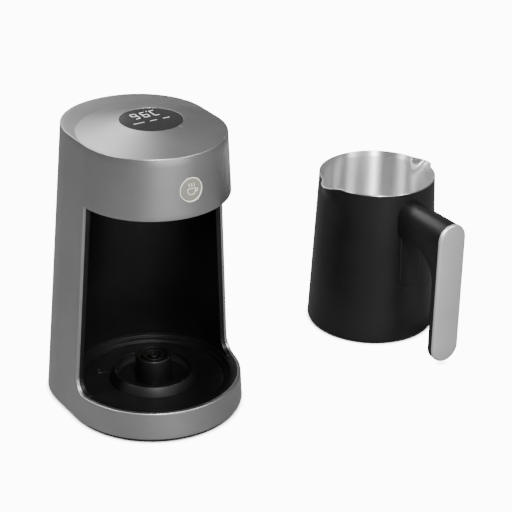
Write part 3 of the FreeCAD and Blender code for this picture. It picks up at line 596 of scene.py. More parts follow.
# %% Housing: its outline at any height
top_radius = 52.0 * MM
cone_rise = 7.8 * MM
housing_top = cone_top - cone_rise
side_length = (31.5 * MM, 21.5 * MM)
back_half = (14.5 * MM, 1.5 * MM)


def blend(pair, share):
    return pair[0] + (pair[1] - pair[0]) * share


def housing_radius(z):
    return foot_radius + (top_radius - foot_radius) * (z - wall_foot) / (housing_top - wall_foot)


def housing_plan(z):
    share = z / housing_top
    radius = housing_radius(z)
    return radius, blend(side_length, share), blend(back_half, share)


def full_run(z):
    radius, side, half = housing_plan(z)
    return side + (radius - half) * math.pi / 2.0 + half


def outline_point(run, z, inset, hand):
    radius, side, half = housing_plan(z)
    corner = radius - half
    if run < 0.0:
        x = (radius - inset) * math.cos(run / radius)
        y = (radius - inset) * math.sin(run / radius)
    elif run <= side:
        x = radius - inset
        y = run
    elif run <= side + corner * math.pi / 2.0:
        x = half + (corner - inset) * math.cos((run - side) / corner)
        y = side + (corner - inset) * math.sin((run - side) / corner)
    else:
        x = half - (run - side - corner * math.pi / 2.0)
        y = side + corner - inset
    return Vector((machine_axis.x + hand * x, machine_axis.y + y, z))


def wall_place(run, z, hand, into=(0.0, 0.0)):
    """into is the direction from the wall into the opening beside it, as (run, height)."""
    def place(offset, depth):
        return outline_point(run - into[0] * offset, z - into[1] * offset, depth, hand)
    return place


# %% Housing: the edge of the opening
head_overhang = 0.6 * MM
head_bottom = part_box("head_floor")[0].z - head_overhang
edge_low = Vector((0.5 * MM, base_top))
edge_high = Vector((-3.0 * MM, head_bottom))
edge_arc = 11.0 * MM
arc_rows = 12
edge_rows = 8


def opening_edge():
    """The edge beside the opening, upwards: (y, height, direction into the opening)."""
    up = (edge_high - edge_low).normalized()
    lean = math.atan2(-up.x, up.y)
    reach = edge_arc / math.tan((math.pi / 2.0 - lean) / 2.0)
    centre = Vector((edge_low.x - reach, base_top + edge_arc))
    points = []
    for turn in stations(-math.pi / 2.0, lean, arc_rows):
        direction = Vector((math.cos(turn), math.sin(turn)))
        points.append((centre + direction * edge_arc, -direction))
    start = points[-1][0]
    for step in range(1, edge_rows + 1):
        points.append((start + (edge_high - start) * (step / edge_rows), -direction))
    points[-1] = (edge_high, Vector((-1.0, -1.0)))
    return [(point.x, point.y, (into.x, into.y)) for point, into in points]


def run_at(y, z):
    return y if y >= 0.0 else housing_radius(z) * math.asin(y / housing_radius(z))


edge_points = opening_edge()
foot_edge_y = edge_points[0][0]
print("edge of the opening from", round(foot_edge_y / MM, 2), "mm to", round(edge_high.x / MM, 2), "mm")

# %% Housing: columns, rows and the two round holes
button_centre = middle_of("button_light_ring").z
button_hole = 8.5 * MM
tight = 0.3
button_patch = 12.0 * MM
button_cells = 16
gland_centre = middle_of("cord_gland").z
gland_hole = 5.5 * MM
gland_patch = 7.5 * MM
gland_cells = 10
top_edge = 0.55 * MM
head_band = 6.0 * MM
base_columns = 44
head_columns = 24
back_columns = 30


def back_runs(start, z):
    near = full_run(z) - gland_patch
    pitch = 2.0 * gland_patch / gland_cells
    return stations(start, near, back_columns) + [
        near + pitch * step for step in range(1, gland_cells // 2 + 1)]


def front_x_run(x, z):
    radius = housing_radius(z)
    return radius * (math.asin(x / radius) - math.pi / 2.0)


def head_runs(z):
    pitch = 2.0 * button_patch / button_cells
    runs = [front_x_run(pitch * step, z) for step in range(button_cells // 2 + 1)]
    edge = run_at(edge_high.x, z)
    return runs + stations(runs[-1], edge, head_columns)[1:] + back_runs(edge, z)[1:]


def base_runs(z):
    edge = run_at(foot_edge_y, z)
    return stations(-housing_radius(z) * math.pi / 2.0, edge, base_columns) + back_runs(edge, z)[1:]


base_levels = [wall_foot] + stations(gland_centre - gland_patch, gland_centre + gland_patch, gland_cells)
base_levels.append(base_top)
head_levels = [head_bottom, (head_bottom + button_centre - button_patch) / 2.0]
head_levels += stations(button_centre - button_patch, button_centre + button_patch, button_cells)
head_levels += [housing_top - head_band, housing_top - top_edge]


def round_hole(sheet, half, cells, centre, radius, surface, rim):
    """Joins a round hole to the square of cells that was left out round it."""
    pitch = 2.0 * half / cells
    square = [(-half + pitch * step, -half) for step in range(cells)]
    square += [(half, -half + pitch * step) for step in range(cells)]
    square += [(half - pitch * step, half) for step in range(cells)]
    square += [(-half, half - pitch * step) for step in range(cells)]
    rows = []
    for a, b in square + square[:1]:
        turn = math.atan2(b, a)
        start = Vector((radius * math.cos(turn), radius * math.sin(turn)))
        spokes = [rim(turn)]
        for step in range(1, 5):
            spot = start.lerp(Vector((a, b)), step / 4)
            spokes.append(surface(spot.x, centre + spot.y))
        rows.append(spokes)
    sheet.rows(rows)


def hand_of(value):
    return 1.0 if value >= 0.0 else -1.0


def front_surface(x, z):
    return -math.sqrt(housing_radius(z) ** 2 - x * x)


def back_surface(x, z):
    radius, side, half = housing_plan(z)
    return side + radius - half


def hole_rim(centre, radius, narrow, surface, inwards):
    """A round hole's rim in the wall at surface(x, z). inwards is 1 where the inside has a larger y."""
    def rim(turn):
        def place(offset, depth):
            x = (radius + narrow * offset) * math.cos(turn)
            z = centre + (radius + narrow * offset) * math.sin(turn)
            y = surface(x, z) + inwards * depth
            return Vector((machine_axis.x + x, machine_axis.y + y, z))
        return place
    return rim


# %% [markdown]
# ## Top of the housing
# The top is flat where the outline leaves the round, which shows as a crescent behind the cone. Two
# rows of the sheet lie close to either side of the cone's foot, so that the smooth shading turns there
# within half a millimetre and the crescent keeps a crisp line.

# %% Housing: its flat top and shallow cone
cone_radius = 51.4 * MM
window_radius = 21.6 * MM
top_shares = (0.25, 0.5, 0.75, 0.985, 1.0, 1.012, *stations(1.1, 2.0, 9))


def top_edge_place(run, hand, turn):
    def place(offset, depth):
        if depth > 0.0:
            spot = outline_point(run, housing_top, depth, hand)
            spot.z -= depth
            return spot
        spot = outline_point(run, housing_top, top_edge * (1.0 - math.cos(turn)), hand)
        spot.z -= top_edge * (1.0 - math.sin(turn))
        return spot
    return place


def top_place(run, hand, share):
    """From the rounded outer edge (share 0) to the foot of the cone (1), then up it (to 2)."""
    def place(offset, depth):
        outer = outline_point(run, housing_top, max(top_edge, depth), hand)
        turn = math.atan2(outer.y - machine_axis.y, outer.x - machine_axis.x)
        level = min(share, 1.0)
        climb = max(share - 1.0, 0.0)
        radius = cone_radius + (window_radius - cone_radius) * climb
        if climb >= 1.0:
            radius += tight * offset
        height = housing_top + cone_rise * (cone_radius - radius) / (cone_radius - window_radius)
        ring = Vector((machine_axis.x + radius * math.cos(turn), machine_axis.y + radius * math.sin(turn)))
        spot = Vector((outer.x, outer.y)).lerp(ring, level) if level < 1.0 else ring
        return Vector((spot.x, spot.y, (height if level >= 1.0 else housing_top) - depth))
    return place


# %% Housing: the sheet and its shell
housing_wall = 2.5 * MM
cut_edge = 0.8 * MM


def wall_rows(levels, runs_at, hand, into_at):
    """One row for each level. into_at(level, column) is the direction into the opening beside a point."""
    return [[wall_place(run, z, hand, into_at(z, column)) for column, run in enumerate(runs_at(z))]
            for z in levels]


def base_into(z, column):
    if z == base_top and column <= base_columns:
        return (0.0, 1.0)
    return (0.0, -1.0) if z == wall_foot else (0.0, 0.0)


def head_into(z, column):
    corner = button_cells // 2 + head_columns
    if z != head_bottom or column > corner:
        return (0.0, 0.0)
    return (-1.0, -1.0) if column == corner else (0.0, -1.0)


def housing_sheet():
    sheet = Sheet()
    for hand in (1.0, -1.0):
        rows = wall_rows(base_levels, base_runs, hand, base_into)
        last = len(rows[0]) - 1 - gland_cells // 2
        sheet.rows(rows, lambda row, column: 1 <= row <= gland_cells and column >= last)
        rows = []
        for y, z, into in edge_points:
            runs = back_runs(run_at(y, z), z)
            rows.append([wall_place(runs[0], z, hand, into)] + [wall_place(run, z, hand) for run in runs[1:]])
        sheet.rows(rows)
        rows = wall_rows(head_levels, head_runs, hand, head_into)
        sheet.rows(rows, lambda row, column: 2 <= row < 2 + button_cells and column < button_cells // 2)
        runs = head_runs(housing_top)
        rows = rows[-1:]
        for turn in stations(0.0, math.pi / 2.0, 4)[1:]:
            rows.append([top_edge_place(run, hand, turn) for run in runs])
        for share in top_shares:
            rows.append([top_place(run, hand, share) for run in runs])
        sheet.rows(rows)
    round_hole(sheet, button_patch, button_cells, button_centre, button_hole,
               lambda x, z: wall_place(front_x_run(abs(x), z), z, hand_of(x)),
               hole_rim(button_centre, button_hole, tight, front_surface, 1.0))
    round_hole(sheet, gland_patch, gland_cells, gland_centre, gland_hole,
               lambda x, z: wall_place(full_run(z) - abs(x), z, hand_of(x)),
               hole_rim(gland_centre, gland_hole, 1.0, back_surface, -1.0))
    return sheet


piece("housing_shell", housing_sheet().shell(housing_wall, cut_edge), "machine",
      housing_paint, ["outer_housing"])

# %% [markdown]
# ## Liner behind the jug
# The column's inner face is a black moulding: a narrow lip beside the housing's cut, whose paint shows
# as a bright edge, and a concave wall that follows the jug. Each row of the mesh runs from the lip on
# one side, round its small inner edge and along the wall to the other side. A second grid behind it
# gives the moulding its thickness.

# %% Liner
liner_rim = 3.4 * MM
lip_round = 0.7 * MM
lip_cover = 0.15 * MM
lip_proud = 0.12 * MM
lip_seat = 0.02 * MM
liner_gap = 0.05 * MM
liner_wall = 1.4 * MM
liner_columns = 40
liner_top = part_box("head_floor")[0].z
liner_skirt = base_top - 1.4 * MM


def across(radius, y):
    return math.sqrt(radius * radius - min(y, 0.0) ** 2)


def liner_half(y, z, behind):
    wall = housing_radius(z) - housing_wall - liner_gap
    inner = housing_radius(z) - housing_wall - liner_rim
    if behind:
        rim = [(across(wall + lip_cover, y), y - lip_seat), (across(wall, y), y - lip_seat)]
        y += liner_wall
        inner += liner_wall
        rim += [(across(wall, y), y)] + [(math.sqrt(inner * inner - y * y), y)] * 4
        start = math.asin(y / inner)
    else:
        y -= lip_proud
        edge = math.sqrt(inner * inner - y * y)
        rim = [(across(wall + lip_cover, y), y), (across(wall, y), y), (edge + lip_round, y)]
        for turn in stations(0.0, math.pi / 2.0, 4)[1:]:
            rim.append((edge + lip_round * (1.0 - math.sin(turn)), y + lip_round * (1.0 - math.cos(turn))))
        start = math.asin((y + lip_round) / inner)
    return rim + [(inner * math.cos(turn), inner * math.sin(turn))
                  for turn in stations(start, math.pi / 2.0, liner_columns)[1:]]


def liner_rows(behind):
    y, z, _ = edge_points[0]
    levels = [(y, z, liner_skirt)] + [(y, z, z) for y, z, _ in edge_points[:-1]]
    levels.append((edge_high.x, head_bottom, liner_top))
    rows = []
    for y, z, height in levels:
        half = liner_half(y, z, behind)
        whole = half + [(-x, y) for x, y in half[-2::-1]]
        rows.append([Vector((machine_axis.x + x, machine_axis.y + y, height)) for x, y in whole])
    return rows


piece("liner", slab(liner_rows(False), liner_rows(True)), "machine", liner_black,
      ["cavity_liner"])

# %% [markdown]
# ## Tray, ring and connector in the base
# The jug's foot stands in a shallow dish with a sloping band round it. In its middle a raised ring
# guides the jug over the round connector, which has two contact grooves and a pin.

# %% Tray
tray_outline = rounded(millimetres([
    (60.2, 22.3, 0.3), (54.4, 20.8, 0.4), (54.0, 19.2, 0.2), (51.2, 18.3, 0.4), (50.7, 16.7, 0.3),
    (13.15, 16.7, 0.3), (13.15, 14.7), (50.0, 14.7), (53.6, 18.0), (60.2, 20.3),
]))
drain_turn = math.radians(140.0)
drain_distance = 40.0 * MM
drain_radius = 1.6
drain = machine_axis + Vector((math.cos(drain_turn), math.sin(drain_turn), 0.0)) * drain_distance
drain_outline = rounded(millimetres([
    (0.0, 13.0), (drain_radius, 13.0), (drain_radius, 20.0), (0.0, 20.0),
]))
tray = loose_object("tray", closed(turned(tray_outline, machine_axis)))
boolean_of(tray, loose_object("drain_cut", closed(turned(drain_outline, drain, 32))), "DIFFERENCE")
hand_over(tray, "machine", liner_black, ["base_tray"])

# %% Drain rim
drain_rim_outline = rounded(millimetres([
    (drain_radius, 16.0), (2.9, 16.6, 0.0), (2.9, 17.5, 0.35), (drain_radius, 17.5, 0.3),
]))
piece("drain_rim", turned(drain_rim_outline, drain, 48), "machine", liner_black)

# %% Tray ring and connector
ring_outline = rounded(millimetres([
    (26.0, 16.7), (32.0, 16.7, 0.2), (28.5, 23.3, 0.5), (26.9, 23.3, 0.4),
]))
piece("guide_ring", turned(ring_outline, machine_axis), "machine", liner_black,
      ["tray_ring"])
boss_top = 35.0
groove_floor = boss_top - 6.0
inner_top = boss_top - 0.4
pin_floor = boss_top - 11.0
boss_outline = rounded(millimetres([
    (0.0, 12.2), (17.0, 12.2, 0.3), (17.0, 14.7, 0.2), (13.0, 14.7), (13.0, boss_top, 0.9),
    (10.4, boss_top, 0.3), (10.4, groove_floor), (8.2, groove_floor), (8.2, inner_top, 0.3),
    (5.6, inner_top, 0.3), (5.6, groove_floor), (3.4, groove_floor), (3.4, inner_top, 0.3),
    (1.7, inner_top, 0.2), (1.7, pin_floor), (0.0, pin_floor),
]))
piece("connector", turned(boss_outline, machine_axis, 96), "machine", liner_black,
      ["connector_body"])

# %% [markdown]
# ## Jug
# The jug is a steel vessel inside a black jacket. Two pouring lips lie opposite each other. They are
# not separate parts: the wall swells outwards over a few centimetres and its edge dips a little. So
# one function gives the swelling for any angle and height, and the jacket and the vessel both use it.

# %% Jug: wall and pouring lips
jug_foot_radius = 50.0 * MM
jug_rim_radius = 44.3 * MM
lip_reach = 5.5 * MM
lip_dip = 1.2 * MM
lip_height = 16.0 * MM
lip_half_angle = math.radians(15.5)


def jug_radius(z):
    return jug_foot_radius + (jug_rim_radius - jug_foot_radius) * z / jug_top


def lip_swell(angle, radius, height):
    rise = max(0.0, min(1.0, (height - (jug_top - lip_height)) / lip_height))
    if rise == 0.0 or radius < jug_rim_radius / 2.0:
        return 0.0, 0.0
    away = min(abs(angle - math.pi), angle, 2.0 * math.pi - angle)
    if away >= lip_half_angle:
        return 0.0, 0.0
    across = math.cos(math.pi / 2.0 * away / lip_half_angle) ** 1.45
    return lip_reach * across * rise ** 1.7, -lip_dip * across * rise ** 4.0


def jug_line(z, inset):
    return (jug_radius(z * MM) / MM - inset, z)


jacket_outline = divided(rounded(millimetres([
    (*jug_line(1.0, 0.0), 1.4), (*jug_line(121.4, 0.0), 0.15), (*jug_line(121.4, 0.4), 0.0),
    (*jug_line(117.0, 1.4), 0.0), (*jug_line(1.0, 1.4), 0.0),
])), 1.2 * MM)
piece("jug_jacket_skin", turned(jacket_outline, jug_axis, 288, lip_swell), "jug", satin_black,
      ["jug_jacket"])

# %% Jug: steel vessel
vessel_outline = divided(rounded(millimetres([
    (*jug_line(121.4, -0.05), 0.0), (*jug_line(121.9, -0.05), 0.25), (*jug_line(121.9, 0.75), 0.3),
    (*jug_line(118.0, 2.1), 3.0), (*jug_line(25.0, 2.2), 6.5), (0.0, 25.0), (0.0, 24.3),
    (*jug_line(24.3, 1.5), 6.0), (*jug_line(117.0, 1.5), 0.0), (*jug_line(121.4, 0.45), 0.0),
]), 8), 1.2 * MM)
piece("steel_vessel", turned(vessel_outline, jug_axis, 288, lip_swell), "jug", brushed_steel,
      ["jug_vessel"])

# %% [markdown]
# ## Handle
# From the side the handle is an arm that turns down into a straight grip. From the front it is a bar
# with round ends. The body is what the two outlines have in common, so a boolean intersection makes
# it, and a bevel rounds the edges that the cut leaves. Its root ends inside the jug's double wall,
# slanted as the wall is, so that nothing of it shows inside.

# %% Handle: arm and grip
handle_half = 11.7 * MM
handle_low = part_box("handle_trim")[0].z
handle_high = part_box("handle_trim")[1].z
trim_front = jug_axis.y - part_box("handle_trim")[0].y
plate_depth = 3.3 * MM
grip_depth = 5.2 * MM
grip_front = trim_front - plate_depth
grip_inner = grip_front - grip_depth
arm_low = 90.0 * MM
arm_root = 1.8 * MM
bar_margin = 0.3 * MM
cutter_half = 30.0 * MM
cutter_lead = 5.0 * MM
cutter_length = 80.0 * MM


def prism(outline, place, shape=None):
    """A closed outline of (a, b) drawn out between two ends, by place(a, b, end)."""
    shape = shape or bmesh.new()
    ends = [[shape.verts.new(place(a, b, end)) for a, b in outline] for end in (0, 1)]
    shape.faces.new(ends[0])
    shape.faces.new(ends[1][::-1])
    for index in range(len(outline)):
        following = (index + 1) % len(outline)
        shape.faces.new([ends[0][following], ends[0][index], ends[1][index], ends[1][following]])
    bmesh.ops.recalc_face_normals(shape, faces=shape.faces)
    return shape


def bar_outline(half, low, high, steps=24):
    """The outline of a bar with round ends, as (x, height) about the jug's axis."""
    outline = []
    for centre, start in ((high - half, 0.0), (low + half, math.pi)):
        for turn in stations(start, start + math.pi, steps):
            outline.append((half * math.cos(turn), centre + half * math.sin(turn)))
    return outline


side_outline = rounded([
    (-grip_front, handle_low, 0.0), (-grip_inner, handle_low, 0.0), (-grip_inner, arm_low, 24.0 * MM),
    (arm_root - jug_radius(arm_low), arm_low, 0.0), (arm_root - jug_radius(handle_high), handle_high, 0.0),
    (-grip_front, handle_high, 0.0),
], 16)
arm = loose_object("handle_bar", prism(
    side_outline, lambda y, z, end: (jug_axis.x + (end * 2 - 1) * cutter_half, jug_axis.y + y, z)))
bar = loose_object("bar", prism(
    bar_outline(handle_half, handle_low + bar_margin, handle_high - bar_margin),
    lambda x, z, end: (jug_axis.x + x, jug_axis.y - grip_front - cutter_lead + end * cutter_length, z)))
boolean_of(arm, bar, "INTERSECT")
bevel = arm.modifiers.new("edges", "BEVEL")
bevel.width = 1.0 * MM
bevel.segments = 3
bevel.limit_method = "ANGLE"
bevel.angle_limit = math.radians(28.0)
hand_over(applied(arm), "jug", soft_black, ["handle_body"])

# %% [markdown]
# ## Spine under the arm
# The handle's arm is carried by a pad that lies on the jacket and runs down the jug, with a rounded
# edge that shows as one soft line. Its thickness is a function of the distance to its outline, so a
# grid of rows over the jug's cone is all it takes.

# %% Spine
spine_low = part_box("handle_mount")[0].z
spine_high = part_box("handle_mount")[1].z
spine_half = 9.5 * MM
spine_corner = 6.0 * MM
spine_rise = 1.2 * MM
spine_edge = 1.0 * MM
spine_root = 0.4 * MM


def spine_width(z):
    rest = spine_corner - min(z - spine_low, spine_corner)
    return spine_half - spine_corner + math.sqrt(spine_corner ** 2 - rest ** 2)


def spine_rows(behind):
    climb = [0.0, 0.1, 0.25, 0.5, 0.8, 1.2, 1.8, 2.6, 3.6, 4.8, 6.0]
    levels = [spine_low + step * MM for step in climb]
    levels += stations(spine_low + spine_corner, spine_high, 16)[1:]
    near = [0.0, 0.06, 0.2, 0.45, 0.8, 1.2]
    rows = []
    for z in levels:
        half = spine_width(z)
        inner = max(0.0, half - near[-1] * MM)
        side = [max(half - step * MM, inner) for step in near]
        row = side + [inner * (1.0 - step / 8.0) for step in range(1, 9)]
        row += [-x for x in row[-2::-1]]
        spots = []
        for x in row:
            corner = math.hypot(max(0.0, abs(x) - spine_half + spine_corner),
                                max(0.0, spine_low + spine_corner - z))
            if corner > 0.0 and z < spine_low + spine_corner:
                away = spine_corner - corner
            else:
                away = spine_half - abs(x)
            share = max(0.0, min(1.0, away / spine_edge))
            rise = -spine_root if behind else spine_rise * math.sqrt(1.0 - (1.0 - share) ** 2)
            turn = math.asin(x / jug_radius(z))
            reach = jug_radius(z) + rise
            spots.append(Vector((
                jug_axis.x + reach * math.sin(turn), jug_axis.y - reach * math.cos(turn), z)))
        rows.append(spots)
    return rows


piece("handle_spine", slab(spine_rows(False), spine_rows(True)), "jug", satin_black,
      ["handle_mount"])

# %% [markdown]
# ## Silver plate
# A cast plate with a satin finish covers the outside of the grip. Its outline is the same bar, 0.3 mm
# larger, and its front edge is rounded over its whole length. It is built as rings of the outline
# that move inwards and forwards along an arc, and then over a crowned face. The arc stops where it has
# the crown's slope, so the two meet without a line.

# %% Silver plate
plate_half = 12.0 * MM
plate_round = 2.0 * MM
plate_crown = 0.9 * MM
plate_back_edge = 0.25 * MM


def plate_shape():
    back = -grip_front
    front = -trim_front + plate_crown
    last_turn = math.pi / 2.0 - math.atan(2.0 * plate_crown / (plate_half - plate_round))
    steps = [(plate_back_edge, back), (0.0, back - plate_back_edge)]
    for turn in stations(0.0, last_turn, 6):
        steps.append((plate_round * (1.0 - math.cos(turn)),
                      front + plate_round * (math.sin(last_turn) - math.sin(turn))))
    arc_inset = steps[-1][0]
    for share in (0.12, 0.25, 0.4, 0.55, 0.75, 0.97):
        inset = arc_inset + (plate_half - arc_inset) * share
        steps.append((inset, front - plate_crown * (1.0 - (1.0 - share) ** 2)))
    shape = bmesh.new()
    rings = []
    for inset, y in steps:
        outline = bar_outline(plate_half - inset, handle_low + inset, handle_high - inset)
        rings.append([shape.verts.new((jug_axis.x + x, jug_axis.y + y, z)) for x, z in outline])
    shape.faces.new(rings[0])
    shape.faces.new(rings[-1])
    return joined_rings(shape, rings)


piece("silver_plate", plate_shape(), "jug", satin_silver, ["handle_trim"])

# %% [markdown]
# ## Window, light ring and button
# The round window lies in the cone's top. The start button on the front of the head is a shallow cap
# whose face follows the housing, inside a lit ring. The ring's neck fills a narrow gap in the housing
# and its flange lies behind the wall.

# %% Window
window_thickness = 1.5
window_sunk = 0.12
window_edge = 21.5
window_outline = rounded(millimetres([
    (0.0, -window_thickness), (window_edge, -window_thickness, 0.2), (window_edge, -window_sunk, 0.25),
    (0.0, -window_sunk),
], cone_top))
piece("window", turned(window_outline, machine_axis), "machine", window_glass,
      ["display_lens"])

# %% [markdown]
# ## What the window shows
# Behind the smoked window stand seven-segment figures: 96, a degree dot and a C, and three plain bars
# below them, one for each mode. One tree makes a bar with pointed ends, and the points say where each
# bar lies, which way it is turned and how long it is.

# %% Tree for the display bars
bar_length = 4.4
bar_tree, entry, leave = geometry_tree("pointed_bars", [
    ("Length", bar_length), ("Width", 0.5), ("Thickness", 0.06), ("Point", 0.3)])
bar_size = vector_of(bar_tree, entry["Length"], entry["Width"], entry["Thickness"])
block = node(bar_tree, "GeometryNodeMeshCube", {"Size": bar_size, "Vertices X": 4}, "Mesh")
spot = node(bar_tree, "ShaderNodeSeparateXYZ", {
    "Vector": node(bar_tree, "GeometryNodeInputPosition", {}, "Position")})
half_length = maths(bar_tree, "MULTIPLY", entry["Length"], 0.5)
at_end = maths(bar_tree, "GREATER_THAN", maths(bar_tree, "ABSOLUTE", spot.outputs["X"]),
               maths(bar_tree, "MULTIPLY", entry["Length"], 0.4))
shoulder = maths(bar_tree, "SUBTRACT", half_length, maths(
    bar_tree, "MULTIPLY", entry["Point"], maths(bar_tree, "SUBTRACT", 1.0, at_end)))
new_x = maths(bar_tree, "MULTIPLY", maths(bar_tree, "SIGN", spot.outputs["X"]), shoulder)
narrow = maths(bar_tree, "SUBTRACT", 1.0, maths(bar_tree, "MULTIPLY", at_end, 0.8))
new_y = maths(bar_tree, "MULTIPLY", spot.outputs["Y"], narrow)
pointed = node(bar_tree, "GeometryNodeSetPosition", {
    "Geometry": block, "Position": vector_of(bar_tree, new_x, new_y, spot.outputs["Z"])}, "Geometry")
on_points(bar_tree, entry, leave, pointed)

# %% Figures and bars
figure_width = 4.6
figure_height = 9.6
figure_base = 4.8
figure_inset = 0.4
figure_lefts = (("9", -9.5), ("6", -2.1), ("C", 5.4))
bars_lit = {"9": "abcdfg", "6": "acdefg", "C": "adef"}
flat_stretch = 0.78
upright_stretch = 0.93
degree_place = (4.1, 14.2)
degree_stretch = 0.24
mode_ends = ((-15.0, -6.4), (-2.2, 3.1), (7.8, 13.0))
mode_line = -2.3
face_of_window = cone_top - 0.06 * MM


def on_window(x, y):
    spot = machine_axis + Vector((x, y, 0.0)) * MM
    spot.z = face_of_window
    return spot


def figure_points(figure, left):
    low = figure_base + figure_inset
    high = figure_base + figure_height - figure_inset
    middle = (low + high) / 2.0
    centre = left + figure_width / 2.0
    near = left + figure_inset
    far = left + figure_width - figure_inset
    flat = (0.0, flat_stretch)
    upright = (math.pi / 2.0, upright_stretch)
    places = {
        "a": (centre, high, flat), "g": (centre, middle, flat), "d": (centre, low, flat),
        "f": (near, (middle + high) / 2.0, upright), "b": (far, (middle + high) / 2.0, upright),
        "e": (near, (low + middle) / 2.0, upright), "c": (far, (low + middle) / 2.0, upright),
    }
    return [(on_window(x, y), *lie) for x, y, lie in (places[letter] for letter in bars_lit[figure])]


figure_bars = [bar for figure, left in figure_lefts for bar in figure_points(figure, left)]
figure_bars.append((on_window(*degree_place), 0.0, degree_stretch))
grown("lit_figures", bar_tree, figure_bars, "machine", lit_white)
mode_bars = [(on_window((low + high) / 2.0, mode_line), 0.0, (high - low) / bar_length)
             for low, high in mode_ends]
grown("mode_marks", bar_tree, mode_bars, "machine", mark_white,
      sizes={"Width": 0.85, "Point": 0.15})

# %% Light ring and button face
ring_inner = 8.0 * MM
ring_flange = 8.9 * MM
ring_back = 8.0 * MM
ring_neck = button_hole - 0.05 * MM
ring_sunk = 0.05 * MM
flange_depth = housing_wall + 0.2 * MM
cap_radius = 7.7 * MM
cap_back = 4.4 * MM
cap_sunk = 0.15 * MM
stem_radius = 3.0 * MM
stem_sides = 48
stem_overlap = 4.0 * MM


def front_y(x, z):
    return machine_axis.y + front_surface(x, z)


def front_disc(steps):
    """A round piece on the front of the housing. steps are (radius, depth behind the housing's face)."""
    def place(radius, depth, turn):
        x = radius * math.cos(turn)
        z = button_centre + radius * math.sin(turn)
        return machine_axis.x + x, front_y(x, z) + depth, z
    return ringed(steps, place, 96)


ring_steps = rounded([
    (ring_inner, ring_back, 0.0), (ring_flange, ring_back, 0.0), (ring_flange, flange_depth, 0.0),
    (ring_neck, flange_depth, 0.0), (ring_neck, ring_sunk, 0.15 * MM), (ring_inner, ring_sunk, 0.15 * MM),
])
piece("light_ring", front_disc(ring_steps), "machine", ring_white, ["button_light_ring"])
cap_steps = divided(rounded([
    (0.0, cap_back, 0.0), (cap_radius, cap_back, 0.0), (cap_radius, cap_sunk, 0.35 * MM),
    (0.0, cap_sunk, 0.0),
]), 1.6 * MM)
cap_shape = front_disc(cap_steps)
stem_start = front_y(0.0, button_centre) + stem_overlap
stem_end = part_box("start_button")[1].y
stem_turns = [2.0 * math.pi * step / stem_sides for step in range(stem_sides)]
prism([(stem_radius * math.cos(turn), stem_radius * math.sin(turn)) for turn in stem_turns],
      lambda x, z, end: (machine_axis.x + x, stem_start + (stem_end - stem_start) * end, button_centre + z),
      cap_shape)
piece("button_cap", cap_shape, "start_button", button_olive, ["start_button"])

# %% [markdown]
# ## Lit lines on the button
# A small cup with its handle and three wisps of steam shines through the button's face. Each line is a
# path that follows the curved face, and a Geometry Nodes tree lays a thin round strip along it, sunk
# by half.

# %% Tree and paths for the lit lines
line_tree, entry, leave = geometry_tree("lit_lines", [("Line Radius", 0.2)])
path = node(line_tree, "GeometryNodeMeshToCurve", {"Mesh": entry["Points"]}, "Curve")
round_profile = node(line_tree, "GeometryNodeCurvePrimitiveCircle", {
    "Resolution": 10, "Radius": entry["Line Radius"]}, "Curve")
strip = node(line_tree, "GeometryNodeCurveToMesh", {
    "Curve": path, "Profile Curve": round_profile, "Fill Caps": True}, "Mesh")
finished(line_tree, entry, leave, strip)


def arc_path(centre, radii, start, end, steps):
    turns = stations(math.radians(start), math.radians(end), steps)
    return [(centre[0] + radii[0] * math.cos(turn), centre[1] + radii[1] * math.sin(turn)) for turn in turns]


steam_low = 2.1
steam_step = 0.24
steam_sway = 0.35
line_sunk = 0.13 * MM
cup_paths = [
    [(-3.0, 0.7)] + arc_path((0.0, -0.6), (2.9, 2.9), 180.0, 360.0, 20) + [(3.0, 0.7), (-3.0, 0.7)],
    arc_path((2.9, -0.6), (1.9, 1.0), 85.0, -95.0, 12),
]
for wisp in (-1.7, 0.1, 1.9):
    cup_paths.append([(wisp + steam_sway * math.sin(step * math.pi / 5.0), steam_low + steam_step * step)
                      for step in range(11)])
line_points = []
line_edges = []
for path_points in cup_paths:
    for index, (x, z) in enumerate(path_points):
        height = button_centre + z * MM
        spot = Vector((machine_axis.x + x * MM, front_y(x * MM, height) + line_sunk, height))
        if index:
            line_edges.append((len(line_points) - 1, len(line_points)))
        line_points.append((spot, 0.0, 1.0))
grown("lit_cup", line_tree, line_points, "start_button", ring_white, edges=line_edges)

# %% [markdown]
# ## Screws and feet
# Four screws hold the bottom cover and four the head's floor, and the machine stands on four rubber
# feet. A tree makes one screw head with a cross recess cut by a boolean, another one foot with two
# moulded ribs, and both put a copy on every place.

# %% Tree for the screws
screw_tree, entry, leave = geometry_tree("cross_screws", [
    ("Head Radius", 2.65), ("Head Height", 1.5), ("Recess Width", 0.7), ("Recess Depth", 0.9)])


def shifted(tree, shape, z):
    return node(tree, "GeometryNodeTransform", {
        "Geometry": shape, "Translation": vector_of(tree, 0.0, 0.0, z)}, "Geometry")


head_cylinder = node(screw_tree, "GeometryNodeMeshCylinder", {
    "Vertices": 40, "Radius": entry["Head Radius"], "Depth": entry["Head Height"]}, "Mesh")
head = shifted(screw_tree, head_cylinder, maths(screw_tree, "MULTIPLY", entry["Head Height"], 0.5))
recess_length = maths(screw_tree, "MULTIPLY", entry["Head Radius"], 1.25)
recess_depth = maths(screw_tree, "MULTIPLY", entry["Recess Depth"], 2.0)
cross = []
for length, width in ((recess_length, entry["Recess Width"]), (entry["Recess Width"], recess_length)):
    cross.append(node(screw_tree, "GeometryNodeMeshCube", {
        "Size": vector_of(screw_tree, length, width, recess_depth)}, "Mesh"))
cut_head = node(screw_tree, "GeometryNodeMeshBoolean", {}, operation="DIFFERENCE", solver="EXACT")
filled(screw_tree, cut_head, {"Mesh 1": head, "Mesh 2": joined(screw_tree, cross), "Self Intersection": True})
on_points(screw_tree, entry, leave, cut_head.outputs["Mesh"])

